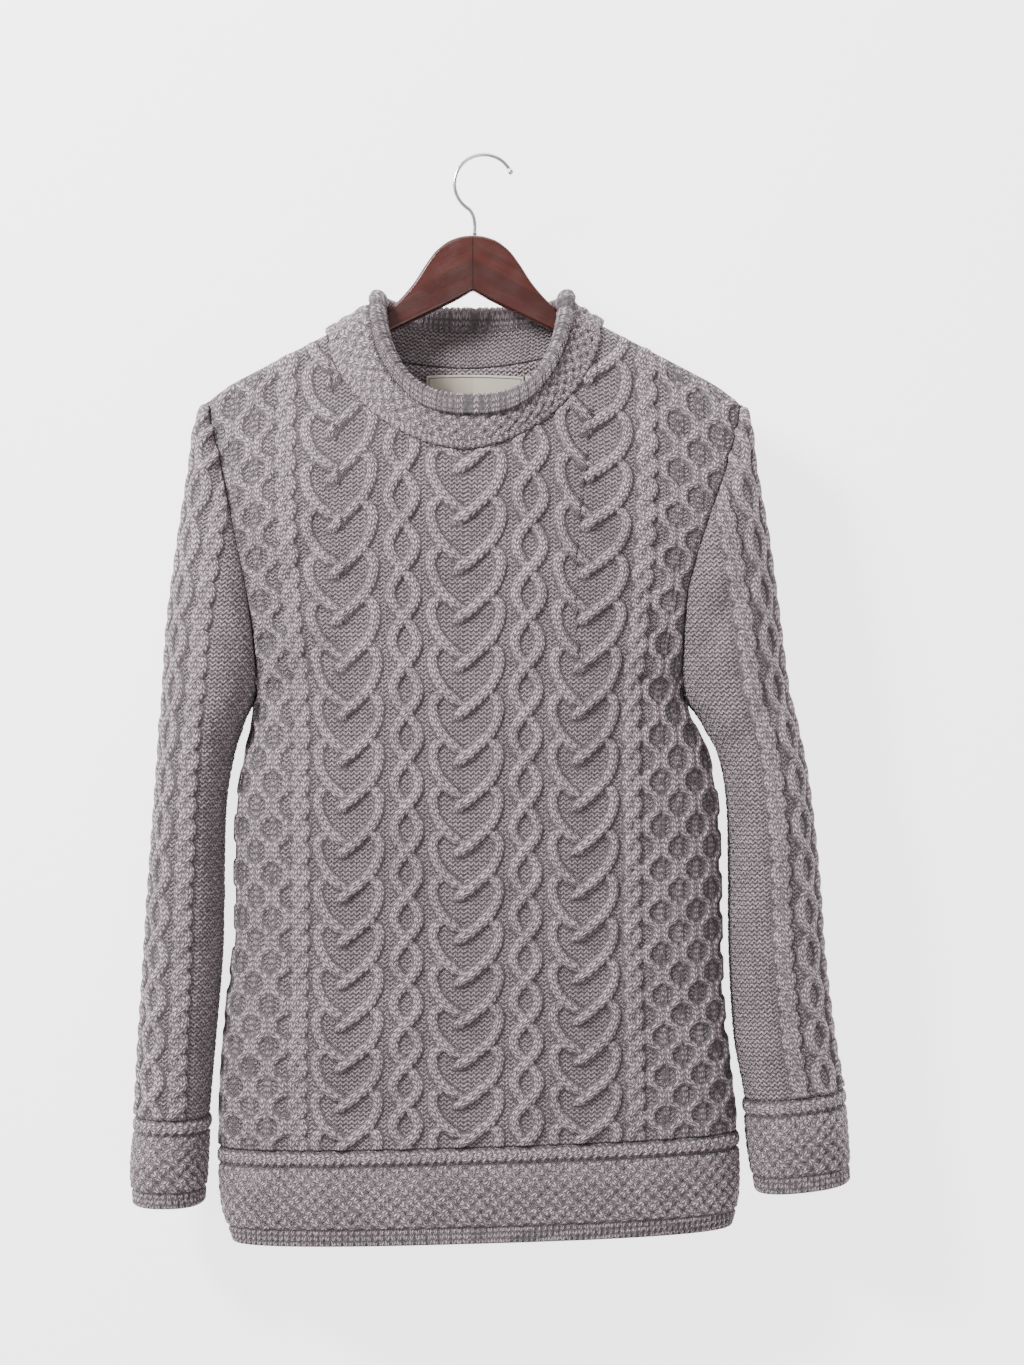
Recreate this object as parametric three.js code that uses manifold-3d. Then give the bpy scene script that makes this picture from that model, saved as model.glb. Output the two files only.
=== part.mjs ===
// A cable knit pullover with a rolled funnel collar, hung on a flat wooden hanger.
// Millimetres, +Z up. X runs to the right seen from the front, and the front faces -Y.
// The origin is the underside of the hook's top, where the peg that holds it would touch.
// Heights are given as "down", the distance below that origin.
import * as THREE from "three";
import { mergeVertices } from "three/addons/utils/BufferGeometryUtils.js";
import Module from "manifold-3d";

const wasm = await Module();
wasm.setup();

// Driving sizes of the cloth
const WALL = 3.4; // plain knitted ground
const CABLE = 3.3; // how far a cable stands above the ground
const MOSS = 1.3; // how far a moss stitch knot stands above the ground
const BASKET = 2.2; // how far a woven cable stands above the bands
const RIDGE = 2.8; // height of the braid between a panel and its band
const SEAM_GAP = 0.4; // clear gap between two sewn pieces
const ROUNDNESS = 2.6; // exponent of the body's cross sections
const SLEEVE_ROUNDNESS = 2.3; // exponent of the sleeves' cross sections

// Shoulder line, neckline and armholes
const PATTERN_X = -13; // the middle cable column
const APEX = { x: -8.5, down: 79.6, slope: 0.52 }; // where both shoulder lines would meet
const TIP = { left: -214, right: 200, roundFrom: 180, roundOver: 30, drop: 6 };
const NECK = { x: -15, half: 106, front: 231, back: 162, power: 1.75 };
const UNDERARM = 416;
const SHOULDER_FOLD = { width: 12, height: 9, reach: 140, power: 1.7 };
const ARMHOLE_FULLNESS = 0.75; // depth of the cloth at the armhole, as a share of the middle
const BODY_END = 764;
const HEM_END = 838;
const EDGE_STRIP = 4; // plain selvedge under the neckline and shoulder seams
const BORDER_FADE = 8; // cables sink into the ground over this distance from an edge

// Cable repeat: the crossings lie closer together towards the hem
const REPEAT = { first: 285.3, height: 38.3, shrink: 0.31 };

// Cross sections of the body: armhole or side seam, depth in front and behind, spread of the stitches
const BODY = [
  { down: 110, left: -214, right: 200, front: 44, back: 36, spread: 1.07 },
  { down: 192, left: -214, right: 200, front: 47, back: 39, spread: 1.07 },
  { down: 240, left: -203, right: 188.5, front: 50, back: 41, spread: 1.07 },
  { down: 290, left: -192, right: 171, front: 53, back: 43, spread: 1.06 },
  { down: 340, left: -182, right: 157, front: 55, back: 44, spread: 1.04 },
  { down: 385, left: -176.5, right: 154, front: 57, back: 45, spread: 1.01 },
  { down: 416, left: -176, right: 154, front: 58, back: 46, spread: 0.99 },
  { down: 440, left: -178, right: 161, front: 58, back: 46, spread: 0.98 },
  { down: 466, left: -184, right: 173, front: 58, back: 46, spread: 0.98 },
  { down: 504, left: -190.5, right: 180.5, front: 58, back: 45, spread: 0.98 },
  { down: 552, left: -192, right: 182.5, front: 57, back: 45, spread: 0.98 },
  { down: 605, left: -192, right: 183.5, front: 56, back: 44, spread: 0.98 },
  { down: 657, left: -198, right: 185, front: 56, back: 44, spread: 0.99 },
  { down: 720, left: -203, right: 191.5, front: 55, back: 43, spread: 1 },
  { down: 764, left: -204, right: 196, front: 54, back: 42, spread: 1 },
  { down: 795, left: -204, right: 197, front: 54, back: 42, spread: 1 },
  { down: 818, left: -201.5, right: 195, front: 53, back: 41, spread: 1 },
  { down: 845, left: -193, right: 187, front: 49, back: 37, spread: 1 },
];

// Cross sections of the sleeves: outer and inner edge, depth in front and behind
const LEFT_SLEEVE = [
  { down: 190, outer: -214.4, inner: -214, front: 10, back: 9 },
  { down: 200, outer: -218.5, inner: -212, front: 17, back: 15 },
  { down: 216, outer: -223, inner: -209, front: 25, back: 23 },
  { down: 243, outer: -226, inner: -203, front: 35, back: 32 },
  { down: 295, outer: -234, inner: -191, front: 44, back: 40 },
  { down: 363, outer: -243, inner: -178, front: 48, back: 44 },
  { down: 416, outer: -246.5, inner: -176.4, front: 49, back: 45 },
  { down: 440, outer: -248, inner: -187.5, front: 49, back: 45 },
  { down: 466, outer: -250, inner: -195.5, front: 48, back: 44 },
  { down: 501, outer: -252.5, inner: -201.5, front: 47, back: 43 },
  { down: 560, outer: -257, inner: -203.5, front: 45, back: 42 },
  { down: 620, outer: -261, inner: -204.5, front: 43, back: 40 },
  { down: 687, outer: -265.5, inner: -210, front: 41, back: 38 },
  { down: 746, outer: -269, inner: -215, front: 39, back: 36 },
  { down: 785, outer: -272.5, inner: -217, front: 39, back: 36 },
  { down: 816, outer: -271, inner: -219, front: 37, back: 34 },
];
const RIGHT_SLEEVE = [
  { down: 190, outer: 200.4, inner: 200, front: 10, back: 9 },
  { down: 200, outer: 203, inner: 198, front: 16, back: 14 },
  { down: 218, outer: 206.5, inner: 194, front: 25, back: 23 },
  { down: 243, outer: 209, inner: 188, front: 34, back: 31 },
  { down: 295, outer: 218.5, inner: 169, front: 44, back: 40 },
  { down: 353, outer: 226.5, inner: 156, front: 48, back: 44 },
  { down: 416, outer: 234.5, inner: 154.4, front: 49, back: 45 },
  { down: 440, outer: 240, inner: 170, front: 49, back: 45 },
  { down: 466, outer: 246, inner: 183.5, front: 48, back: 44 },
  { down: 501, outer: 251.5, inner: 190, front: 47, back: 43 },
  { down: 560, outer: 258, inner: 191.5, front: 45, back: 42 },
  { down: 620, outer: 262.5, inner: 192, front: 43, back: 40 },
  { down: 687, outer: 271, inner: 196, front: 41, back: 38 },
  { down: 729, outer: 278.5, inner: 203.5, front: 40, back: 37 },
  { down: 770, outer: 282, inner: 207, front: 40, back: 37 },
  { down: 803, outer: 283.5, inner: 212.5, front: 38, back: 35 },
];
const SLEEVES = {
  left: { sign: -1, rows: LEFT_SLEEVE, cuff: 746, end: 814, lean: 0 },
  right: { sign: 1, rows: RIGHT_SLEEVE, cuff: 729, end: 801, lean: 4.5 },
};
const SLEEVE_TURN = 38; // the sleeve's middle column is turned this far from its outer edge to the front

// Columns across half the body, from the middle: share of the full cable height on the whole
// and on the half repeats, and how far a column sways sideways between them
const BODY_COLUMNS = [
  { at: 0, whole: 0, half: 1 },
  { at: 17, whole: 1, half: 0.1 },
  { at: 25, whole: 0.1, half: 1 },
  { at: 30.5, whole: 0, half: 0 },
  { at: 36, whole: 1, half: 0.1 },
  { at: 46, whole: 0, half: 1 },
  { at: 56, whole: 1, half: 0.1 },
  { at: 61.5, whole: 0, half: 0 },
  { at: 66.5, whole: 0.1, half: 1 },
  { at: 74, whole: 1, half: 0.1 },
  { at: 91, whole: 0, half: 1 },
  { at: 108, whole: 1, half: 0.1 },
  { at: 115.5, whole: 0.1, half: 1 },
  { at: 120.5, whole: 0, half: 0 },
  { at: 125, whole: 1, half: 0.55 },
  { at: 133, whole: 0.55, half: 1 },
  { at: 138, whole: 0, half: 0 },
];
const HONEYCOMB = { first: 147.3, pitch: 18, sway: 4.2, strands: 6, web: 0.8 };
const SLEEVE_COLUMNS = [
  { at: 0, whole: 0, half: 1 },
  { at: 10, whole: 1, half: 0.1 },
  { at: 15, whole: 0, half: 0 },
  { at: 19.5, whole: 1, half: 0.55 },
  { at: 27, whole: 0.55, half: 1 },
  { at: 32, whole: 0, half: 0 },
];
const MOSS_PITCH = 13.5;
const BAND_PITCH = 11.5;

// Bands: height below the seam as a share, and what is raised there
const BAND_ROWS = [
  { share: 0, form: "plain" },
  { share: 0.09, form: "ridge" },
  { share: 0.17, form: "plain" },
  { share: 0.31, form: "basket" },
  { share: 0.46, form: "basket" },
  { share: 0.61, form: "basket" },
  { share: 0.76, form: "plain" },
  { share: 0.9, form: "rib" },
  { share: 1, form: "plain" },
];

// Collar: the rolled top edge
const COLLAR = { x: -9, y: -8, half: 74, deep: 44, side: 108, front: 193, back: 116, power: 1.15 };
const COLLAR_ROUNDNESS = 2.8;
const COLLAR_WALL = 4.2;
const COLLAR_BELLY = 5; // how far its middle swells outwards
const COLLAR_STEPS = [0, 0.14, 0.3, 0.5, 0.72]; // shares of its height, seam to roll
const NECK_DEPTH = { front: 48, back: 32 }; // of the neckline, from the hanger's plane
const ROLL = { radius: 4.6, steps: 4, curled: 35, slack: 35, out: 2, drop: 4, tail: 7 };

// Labels on the inside of the back, as columns and rows of the back
const LABEL = { from: -31, to: 42, top: 166, bottom: 197, off: 2.4, thick: 0.8 };
const SIZE_TAB = { from: 43.5, to: 53, top: 165, bottom: 177, off: 1.5, thick: 0.8 };

// Hanger and hook
const HANGER = { x: -8.5, top: 61.6, thick: 11, bevel: 4, reach: 184, rest: 0.7, notch: 104.5 };
const HANGER_HEAD = [
  { d: 9, down: 62.4 },
  { d: 19, down: 65.8 },
  { d: 29, down: 73.6 },
  { d: 37, down: 84.6 },
  { d: 45, down: 97.6 },
  { d: 54, down: 108.6 },
];
const HANGER_ARM = [
  { d: 66, below: 2 },
  { d: 92, below: 6.6 },
  { d: 116, below: 5 },
  { d: 140, below: 0 },
  { d: 179, below: 0 },
  { d: 184, below: 3 },
  { d: 184, below: 11 },
];
const HANGER_UNDERSIDE = [
  { d: 62, down: 135.5 },
  { d: 16, down: 113.5 },
  { d: 5, down: 107.5 },
];
const HOOK = { radius: 22.8, wire: 1.65, stem: -7, tip: 2.6, from: 24, to: 236, steps: 13 };
const STEM_BEND = [
  { side: -1.5, down: 46.5 },
  { side: 0, down: 53 },
];

const clamp = (v, low, high) => Math.min(high, Math.max(low, v));
const smooth = (t) => t * t * (3 - 2 * t);

// Smooth value of one column of a table at a height
function along(rows, name, down) {
  const last = rows.length - 1;
  let i = 0;
  while (i < last - 1 && rows[i + 1].down < down) i++;
  const [a, b] = [rows[i], rows[i + 1]];
  const before = rows[Math.max(i - 1, 0)];
  const after = rows[Math.min(i + 2, last)];
  const span = b.down - a.down;
  const t = clamp((down - a.down) / span, 0, 1);
  const slopeA = ((b[name] - before[name]) / (b.down - before.down)) * span;
  const slopeB = ((after[name] - a[name]) / (after.down - a.down)) * span;
  const t2 = t * t;
  const t3 = t2 * t;
  return (
    a[name] * (2 * t3 - 3 * t2 + 1) +
    slopeA * (t3 - 2 * t2 + t) +
    b[name] * (3 * t2 - 2 * t3) +
    slopeB * (t3 - t2)
  );
}

// Root of a rising function between two values, by the Illinois rule
function solve(f, low, high) {
  let atLow = f(low);
  let atHigh = f(high);
  if (atLow >= 0) return low;
  if (atHigh <= 0) return high;
  let guess = low;
  for (let i = 0; i < 40; i++) {
    guess = (low * atHigh - high * atLow) / (atHigh - atLow);
    const value = f(guess);
    if (Math.abs(value) < 1e-7 || high - low < 1e-7) break;
    if (value < 0) {
      low = guess;
      atLow = value;
      atHigh /= 2;
    } else {
      high = guess;
      atHigh = value;
      atLow /= 2;
    }
  }
  return guess;
}

// Keeps the values of a function of two numbers
function remember(f) {
  const known = new Map();
  return (u, v) => {
    const key = u + "," + v;
    if (!known.has(key)) known.set(key, f(u, v));
    return known.get(key);
  };
}

// Cable repeats counted down the body
function repeatAt(down) {
  const { first, height, shrink } = REPEAT;
  const root = Math.sqrt(height * height - 4 * shrink * (down - first));
  return (height - root) / (2 * shrink) + 0.5;
}
function downAt(repeat) {
  const t = repeat - 0.5;
  return REPEAT.first + REPEAT.height * t - REPEAT.shrink * t * t;
}
const sideways = (down) => Math.cos(2 * Math.PI * repeatAt(down));

// Height of the shoulder line and of the neckline, as distances below the origin
function ridgeDown(x) {
  const d = Math.abs(x - APEX.x);
  const over = Math.max(0, (d - TIP.roundFrom) / TIP.roundOver);
  return APEX.down + APEX.slope * d + TIP.drop * over * over;
}
function topDown(x, face) {
  const u = (x - NECK.x) / NECK.half;
  if (Math.abs(u) >= 1) return ridgeDown(x);
  const left = ridgeDown(NECK.x - NECK.half);
  const right = ridgeDown(NECK.x + NECK.half);
  const side = left + ((u + 1) / 2) * (right - left);
  const dip = (1 - Math.abs(u) ** NECK.power) ** (1 / NECK.power);
  return side + (NECK[face] - side) * dip;
}

// One quarter of a superellipse, measured along its arc from the middle
function quarter(a, b, n) {
  const steps = 60;
  const points = [];
  let arc = 0;
  for (let i = 0; i <= steps; i++) {
    const angle = (i / steps) * (Math.PI / 2);
    const x = i === steps ? a : a * Math.sin(angle) ** (2 / n);
    const y = i === steps ? 0 : b * Math.cos(angle) ** (2 / n);
    if (i) arc += Math.hypot(x - points[i - 1].x, y - points[i - 1].y);
    points.push({ x, y, arc });
  }
  const read = (key, value) => {
    let i = 1;
    while (i < steps && points[i][key] < value) i++;
    const [p, q] = [points[i - 1], points[i]];
    const t = clamp((value - p[key]) / (q[key] - p[key] || 1), 0, 1);
    return { x: p.x + (q.x - p.x) * t, y: p.y + (q.y - p.y) * t, arc: p.arc + (q.arc - p.arc) * t };
  };
  return { length: arc, byArc: (s) => read("arc", s), byX: (x) => read("x", x) };
}

// Share of the depth that is left where the front or back meets the armhole or the side seam
function edgeShare(down) {
  const v = clamp((down - 192) / (UNDERARM - 192), 0, 1);
  return ARMHOLE_FULLNESS * Math.sqrt(1 - v ** 3.2);
}

// Half of the body's cross section at a height, on one side and one face
function bodySection(side, face, down) {
  const sign = side === "left" ? -1 : 1;
  const edgeX = sign * (along(BODY, side, down) - PATTERN_X);
  const depth = along(BODY, face, down);
  const share = edgeShare(down);
  const reach = edgeX / (1 - share ** ROUNDNESS) ** (1 / ROUNDNESS);
  const curve = quarter(reach, depth, ROUNDNESS);
  const edge = share > 0.001 ? curve.byX(edgeX).arc : curve.length;
  return { curve, depth, edge, spread: along(BODY, "spread", down), sign };
}

// Depth of the cloth a given distance below the shoulder line
function depthBelowRidge(h, depth) {
  const { width, height, reach, power } = SHOULDER_FOLD;
  const fold = width * Math.sqrt(1 - (1 - clamp(h / height, 0, 1)) ** 2);
  return fold + (depth - width) * (1 - (1 - clamp(h / reach, 0, 1)) ** power);
}

// Point of the body's ground surface at a stitch column and a row
function rowDown(column, row) {
  const droop = 40 * smooth(clamp((UNDERARM - row) / 230, 0, 1));
  const lean = 0.03 * smooth(clamp((row - UNDERARM) / 300, 0, 1));
  return row + droop * (column / 200) ** 2 - lean * column;
}
function bodyPoint(face, column, row) {
  const down = rowDown(column, row);
  const side = column < 0 ? "left" : "right";
  const { curve, depth, spread, edge, sign } = bodySection(side, face, down);
  const at = curve.byArc(Math.min(Math.abs(column) * spread, edge));
  const x = PATTERN_X + sign * at.x;
  const deep = (at.y / depth) * depthBelowRidge(down - ridgeDown(x), depth);
  return new THREE.Vector3(x, face === "front" ? -deep : deep, -down);
}

// The column where a row of the body meets the armhole or the side seam
function edgeColumn(side, face, row) {
  const sign = side === "left" ? -1 : 1;
  const beyond = (c) => {
    const { edge, spread } = bodySection(side, face, rowDown(sign * c, row));
    return c - edge / spread;
  };
  return sign * solve(beyond, 60, 300);
}

// The row where a column meets the shoulder seam or the neckline
function topRow(face, column) {
  const below = (row) => {
    const p = bodyPoint(face, column, row);
    return -p.z - topDown(p.x, face);
  };
  return solve(below, 60, 330);
}

// Armhole seam: a closed loop through the shoulder tip and the underarm
function armholePoint(side, face, down) {
  const { curve, depth, sign } = bodySection(side, face, down);
  const x = along(BODY, side, down);
  const at = curve.byX(sign * (x - PATTERN_X));
  const share = edgeShare(down) > 0.001 ? at.y / depth : 0;
  const deep = share * depthBelowRidge(down - ridgeDown(x), depth);
  return new THREE.Vector3(x, face === "front" ? -deep : deep, -down);
}
const tipDown = (side) => ridgeDown(TIP[side]);
function armholeNormal(side, face, down) {
  const tip = tipDown(side);
  if (down > UNDERARM - 0.01) return new THREE.Vector3(0, 0, -1);
  if (down < tip + 0.01) return new THREE.Vector3(0, 0, 1);
  const step = Math.min(0.5, (down - tip) / 2, (UNDERARM - down) / 2);
  const a = armholePoint(side, face, down - step);
  const b = armholePoint(side, face, down + step);
  const out = face === "front" ? -1 : 1;
  return new THREE.Vector3(0, out * (a.z - b.z), out * (b.y - a.y)).normalize();
}

// Where the body and a sleeve part: the armhole's plane, and halfway between them below it
function partingX(side, down) {
  const body = along(BODY, side, down);
  return down < UNDERARM ? body : (body + along(SLEEVES[side].rows, "inner", down)) / 2;
}
function keepInBody(p) {
  const side = p.x < PATTERN_X ? "left" : "right";
  const { sign } = SLEEVES[side];
  const over = sign * (p.x - partingX(side, -p.z)) + SEAM_GAP / 2;
  if (over > 0) p.x -= sign * over;
}
function keepInSleeve(p, side) {
  const { sign } = SLEEVES[side];
  const short = sign * (partingX(side, -p.z) - p.x) + SEAM_GAP / 2;
  if (short > 0) p.x += sign * short;
}

// Outline of the part of one cell that lies inside the border. The border runs anticlockwise, so
// each stretch of it in the cell is followed, and then the cell's own edge to the next stretch.
function cellOutline([left, right, top, bottom], border, cornerAt) {
  const near = 1e-6;
  const within = (b) =>
    b.u > left - near && b.u < right + near && b.v > top - near && b.v < bottom + near;
  const place = ({ u, v }) => {
    if (Math.abs(v - bottom) < near) return (u - left) / (right - left);
    if (Math.abs(u - right) < near) return 1 + (bottom - v) / (bottom - top);
    if (Math.abs(v - top) < near) return 2 + (right - u) / (right - left);
    return 3 + (v - top) / (bottom - top);
  };
  const corners = [[left, bottom], [right, bottom], [right, top], [left, top]];
  const inner = corners.map(([u, v]) => cornerAt(u, v)).filter((c) => c);
  const count = border.length;
  const runs = [];
  for (let i = 0; i < count; i++) {
    if (!within(border[i]) || within(border[(i + count - 1) % count])) continue;
    const run = [];
    for (let k = i; within(border[k % count]); k++) run.push(border[k % count]);
    runs.push(run);
  }
  if (!runs.length) return inner;
  const start = place(runs[0][runs[0].length - 1]);
  const ahead = (item) => (place(item[0]) - start + 8) % 4;
  const rest = [...runs.slice(1), ...inner.map((c) => [c])].sort((p, q) => ahead(p) - ahead(q));
  return [...runs[0], ...rest.flat()];
}

// A closed cloth wall over a region of columns and rows. The outer face follows every column and
// row and carries the raised stitches, and the inner face is plain and follows every few of them.
function clothWall(panel) {
  const { columns, rows, innerColumns, innerRows, loop, strip, inside, ground, raised, keep } = panel;
  const corners = new Map();
  const outer = [];
  const inner = [];
  const add = (key, point, normal, height) => {
    if (!corners.has(key)) {
      corners.set(key, outer.length);
      outer.push(point.clone().addScaledVector(normal, height));
      inner.push(point.clone().addScaledVector(normal, -WALL));
    }
    return corners.get(key);
  };
  const snap = (value, stops) => stops.find((s) => Math.abs(s - value) < 1e-4) ?? value;
  const lines = columns.map((c) => c.at);
  const border = loop.map((b, i) => {
    const id = add("b" + i, b.point, b.normal, 0);
    return { ...b, u: snap(b.u, lines), v: snap(b.v, rows), id, height: 0 };
  });
  const faces = [];
  const cells = (columnList, rowList, flip, offset) => {
    for (let i = 0; i + 1 < columnList.length; i++) {
      for (let j = 0; j + 1 < rowList.length; j++) {
        const [c0, c1] = [columnList[i], columnList[i + 1]];
        const [r0, r1] = [rowList[j], rowList[j + 1]];
        const shape = cellOutline([c0.at, c1.at, r0, r1], border, (u, v) => {
          if (!inside(u, v)) return null;
          const c = u === c0.at ? c0 : c1;
          const height = raised(c, v);
          const { point, normal } = ground(c, v);
          return { u, v, height, id: add(u + "," + v, point, normal, height) };
        });
        if (shape.length < 3) continue;
        const flat = shape.map((s) => new THREE.Vector2(s.u, -s.v));
        if (THREE.ShapeUtils.area(flat) < 1e-8) continue;
        let parts = THREE.ShapeUtils.triangulateShape(flat, []);
        const apex = shape.findIndex((s) => !s.sewn);
        if (apex >= 0 && shape.some((s) => s.sewn)) {
          parts = shape.slice(2).map((_, k) => [0, k + 1, k + 2].map((m) => (apex + m) % shape.length));
        } else if (shape.length === 4) {
          const even = shape[0].height + shape[2].height >= shape[1].height + shape[3].height;
          parts = even ? [[0, 1, 2], [0, 2, 3]] : [[0, 1, 3], [1, 2, 3]];
        }
        for (const [a, b, c] of parts) {
          const ids = [shape[a].id, shape[b].id, shape[c].id].map((id) => 2 * id + offset);
          faces.push(flip ? ids.reverse() : ids);
        }
      }
    }
  };
  cells(columns, rows, false, 0);
  cells(innerColumns, innerRows, true, 1);
  // The plain strip along the top, then the rims
  const rim = strip.length ? [] : border.map((b) => b);
  if (strip.length) {
    const top = strip.map((s, i) => add("s" + i, s.point, s.normal, 0));
    const first = strip[0].over;
    for (let i = 0; i + 1 < strip.length; i++) {
      const [p, q] = [border[first + i].id, border[first + i + 1].id];
      faces.push([2 * p, 2 * top[i + 1], 2 * q], [2 * p, 2 * top[i], 2 * top[i + 1]]);
      const [a, b] = [2 * top[i] + 1, 2 * top[i + 1] + 1];
      faces.push([2 * p + 1, 2 * q + 1, b], [2 * p + 1, b, a]);
    }
    rim.push(...border.slice(0, first + 1));
    rim.push(...top.map((id) => ({ id })));
    rim.push(...border.slice(first + strip.length - 1));
  }
  rim.forEach((p, i) => {
    const q = rim[(i + 1) % rim.length];
    if (p.sewn && q.sewn) return;
    faces.push([2 * p.id, 2 * p.id + 1, 2 * q.id + 1], [2 * p.id, 2 * q.id + 1, 2 * q.id]);
  });
  for (const p of [...outer, ...inner]) keep(p);
  const positions = [];
  outer.forEach((p, i) => positions.push(p.x, p.y, p.z, inner[i].x, inner[i].y, inner[i].z));
  return closedGeometry(positions, faces);
}

// Indexed geometry with shared corners and its faces pointing out
function closedGeometry(positions, faces) {
  let volume = 0;
  const at = (i) => new THREE.Vector3().fromArray(positions, 3 * i);
  for (const [a, b, c] of faces) volume += at(a).dot(at(b).cross(at(c)));
  const index = faces.flatMap((f) => (volume < 0 ? [f[0], f[2], f[1]] : f));
  const geometry = new THREE.BufferGeometry();
  geometry.setAttribute("position", new THREE.Float32BufferAttribute(positions, 3));
  geometry.setIndex(index);
  const merged = mergeVertices(geometry, 1e-3);
  merged.computeVertexNormals();
  return merged;
}

// Ground point and outward normal from a surface of two parameters
function withNormal(surface, u, v, toward) {
  const step = 0.6;
  const alongU = surface(u + step, v).sub(surface(u - step, v));
  const alongV = surface(u, v + step).sub(surface(u, v - step));
  const normal = alongU.cross(alongV).normalize();
  if (normal.dot(toward) < 0) normal.negate();
  return { point: surface(u, v), normal };
}

// Stops along a curve, with one more wherever it crosses a line of the grid
function crossings(stops, curve, lines) {
  const made = [];
  stops.forEach((stop, i) => {
    if (i) {
      const [a, b] = [stops[i - 1], stop];
      const between = lines.filter((l) => (curve(a) - l) * (curve(b) - l) < -1e-9);
      const rising = curve(b) > curve(a);
      between.sort((p, q) => (rising ? p - q : q - p));
      for (const line of between) {
        const t = solve((k) => (rising ? 1 : -1) * (curve(a + (b - a) * k) - line), 0, 1);
        made.push(a + (b - a) * t);
      }
    }
    made.push(stop);
  });
  return made;
}

// All columns of the body, mirrored, with the honeycomb at the sides
function bodyColumns() {
  const half = [...BODY_COLUMNS];
  for (let i = 0; i < HONEYCOMB.strands; i++) {
    const at = HONEYCOMB.first + i * HONEYCOMB.pitch;
    const sign = i % 2 ? -1 : 1;
    half.push({ at, whole: 1, half: 1, sway: sign * HONEYCOMB.sway });
    const knots = i % 2 ? { whole: 0, half: HONEYCOMB.web } : { whole: HONEYCOMB.web, half: 0 };
    half.push({ at: at + HONEYCOMB.pitch / 2, ...knots });
  }
  const mirrored = half.slice(1).map((c) => ({ ...c, at: -c.at, sway: -(c.sway || 0) }));
  return [...mirrored.reverse(), ...half];
}

const cableHeight = (column, row) => {
  const whole = (1 + sideways(row)) / 2;
  return CABLE * (column.whole * whole + column.half * (1 - whole));
};

// Rows at every half repeat, with one at the underarm and one above everything
const rowsBetween = (above, from, to) => {
  const rows = [above, UNDERARM, to];
  for (let k = -10; k <= 40; k++) {
    const down = downAt(k / 2);
    if (down > from && rows.every((r) => Math.abs(down - r) > 4) && down < to) rows.push(down);
  }
  return rows.sort((a, b) => a - b);
};

const every = (list, step, phase = 0) =>
  list.filter((_, i) => i === 0 || i === list.length - 1 || i % step === phase);

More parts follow.
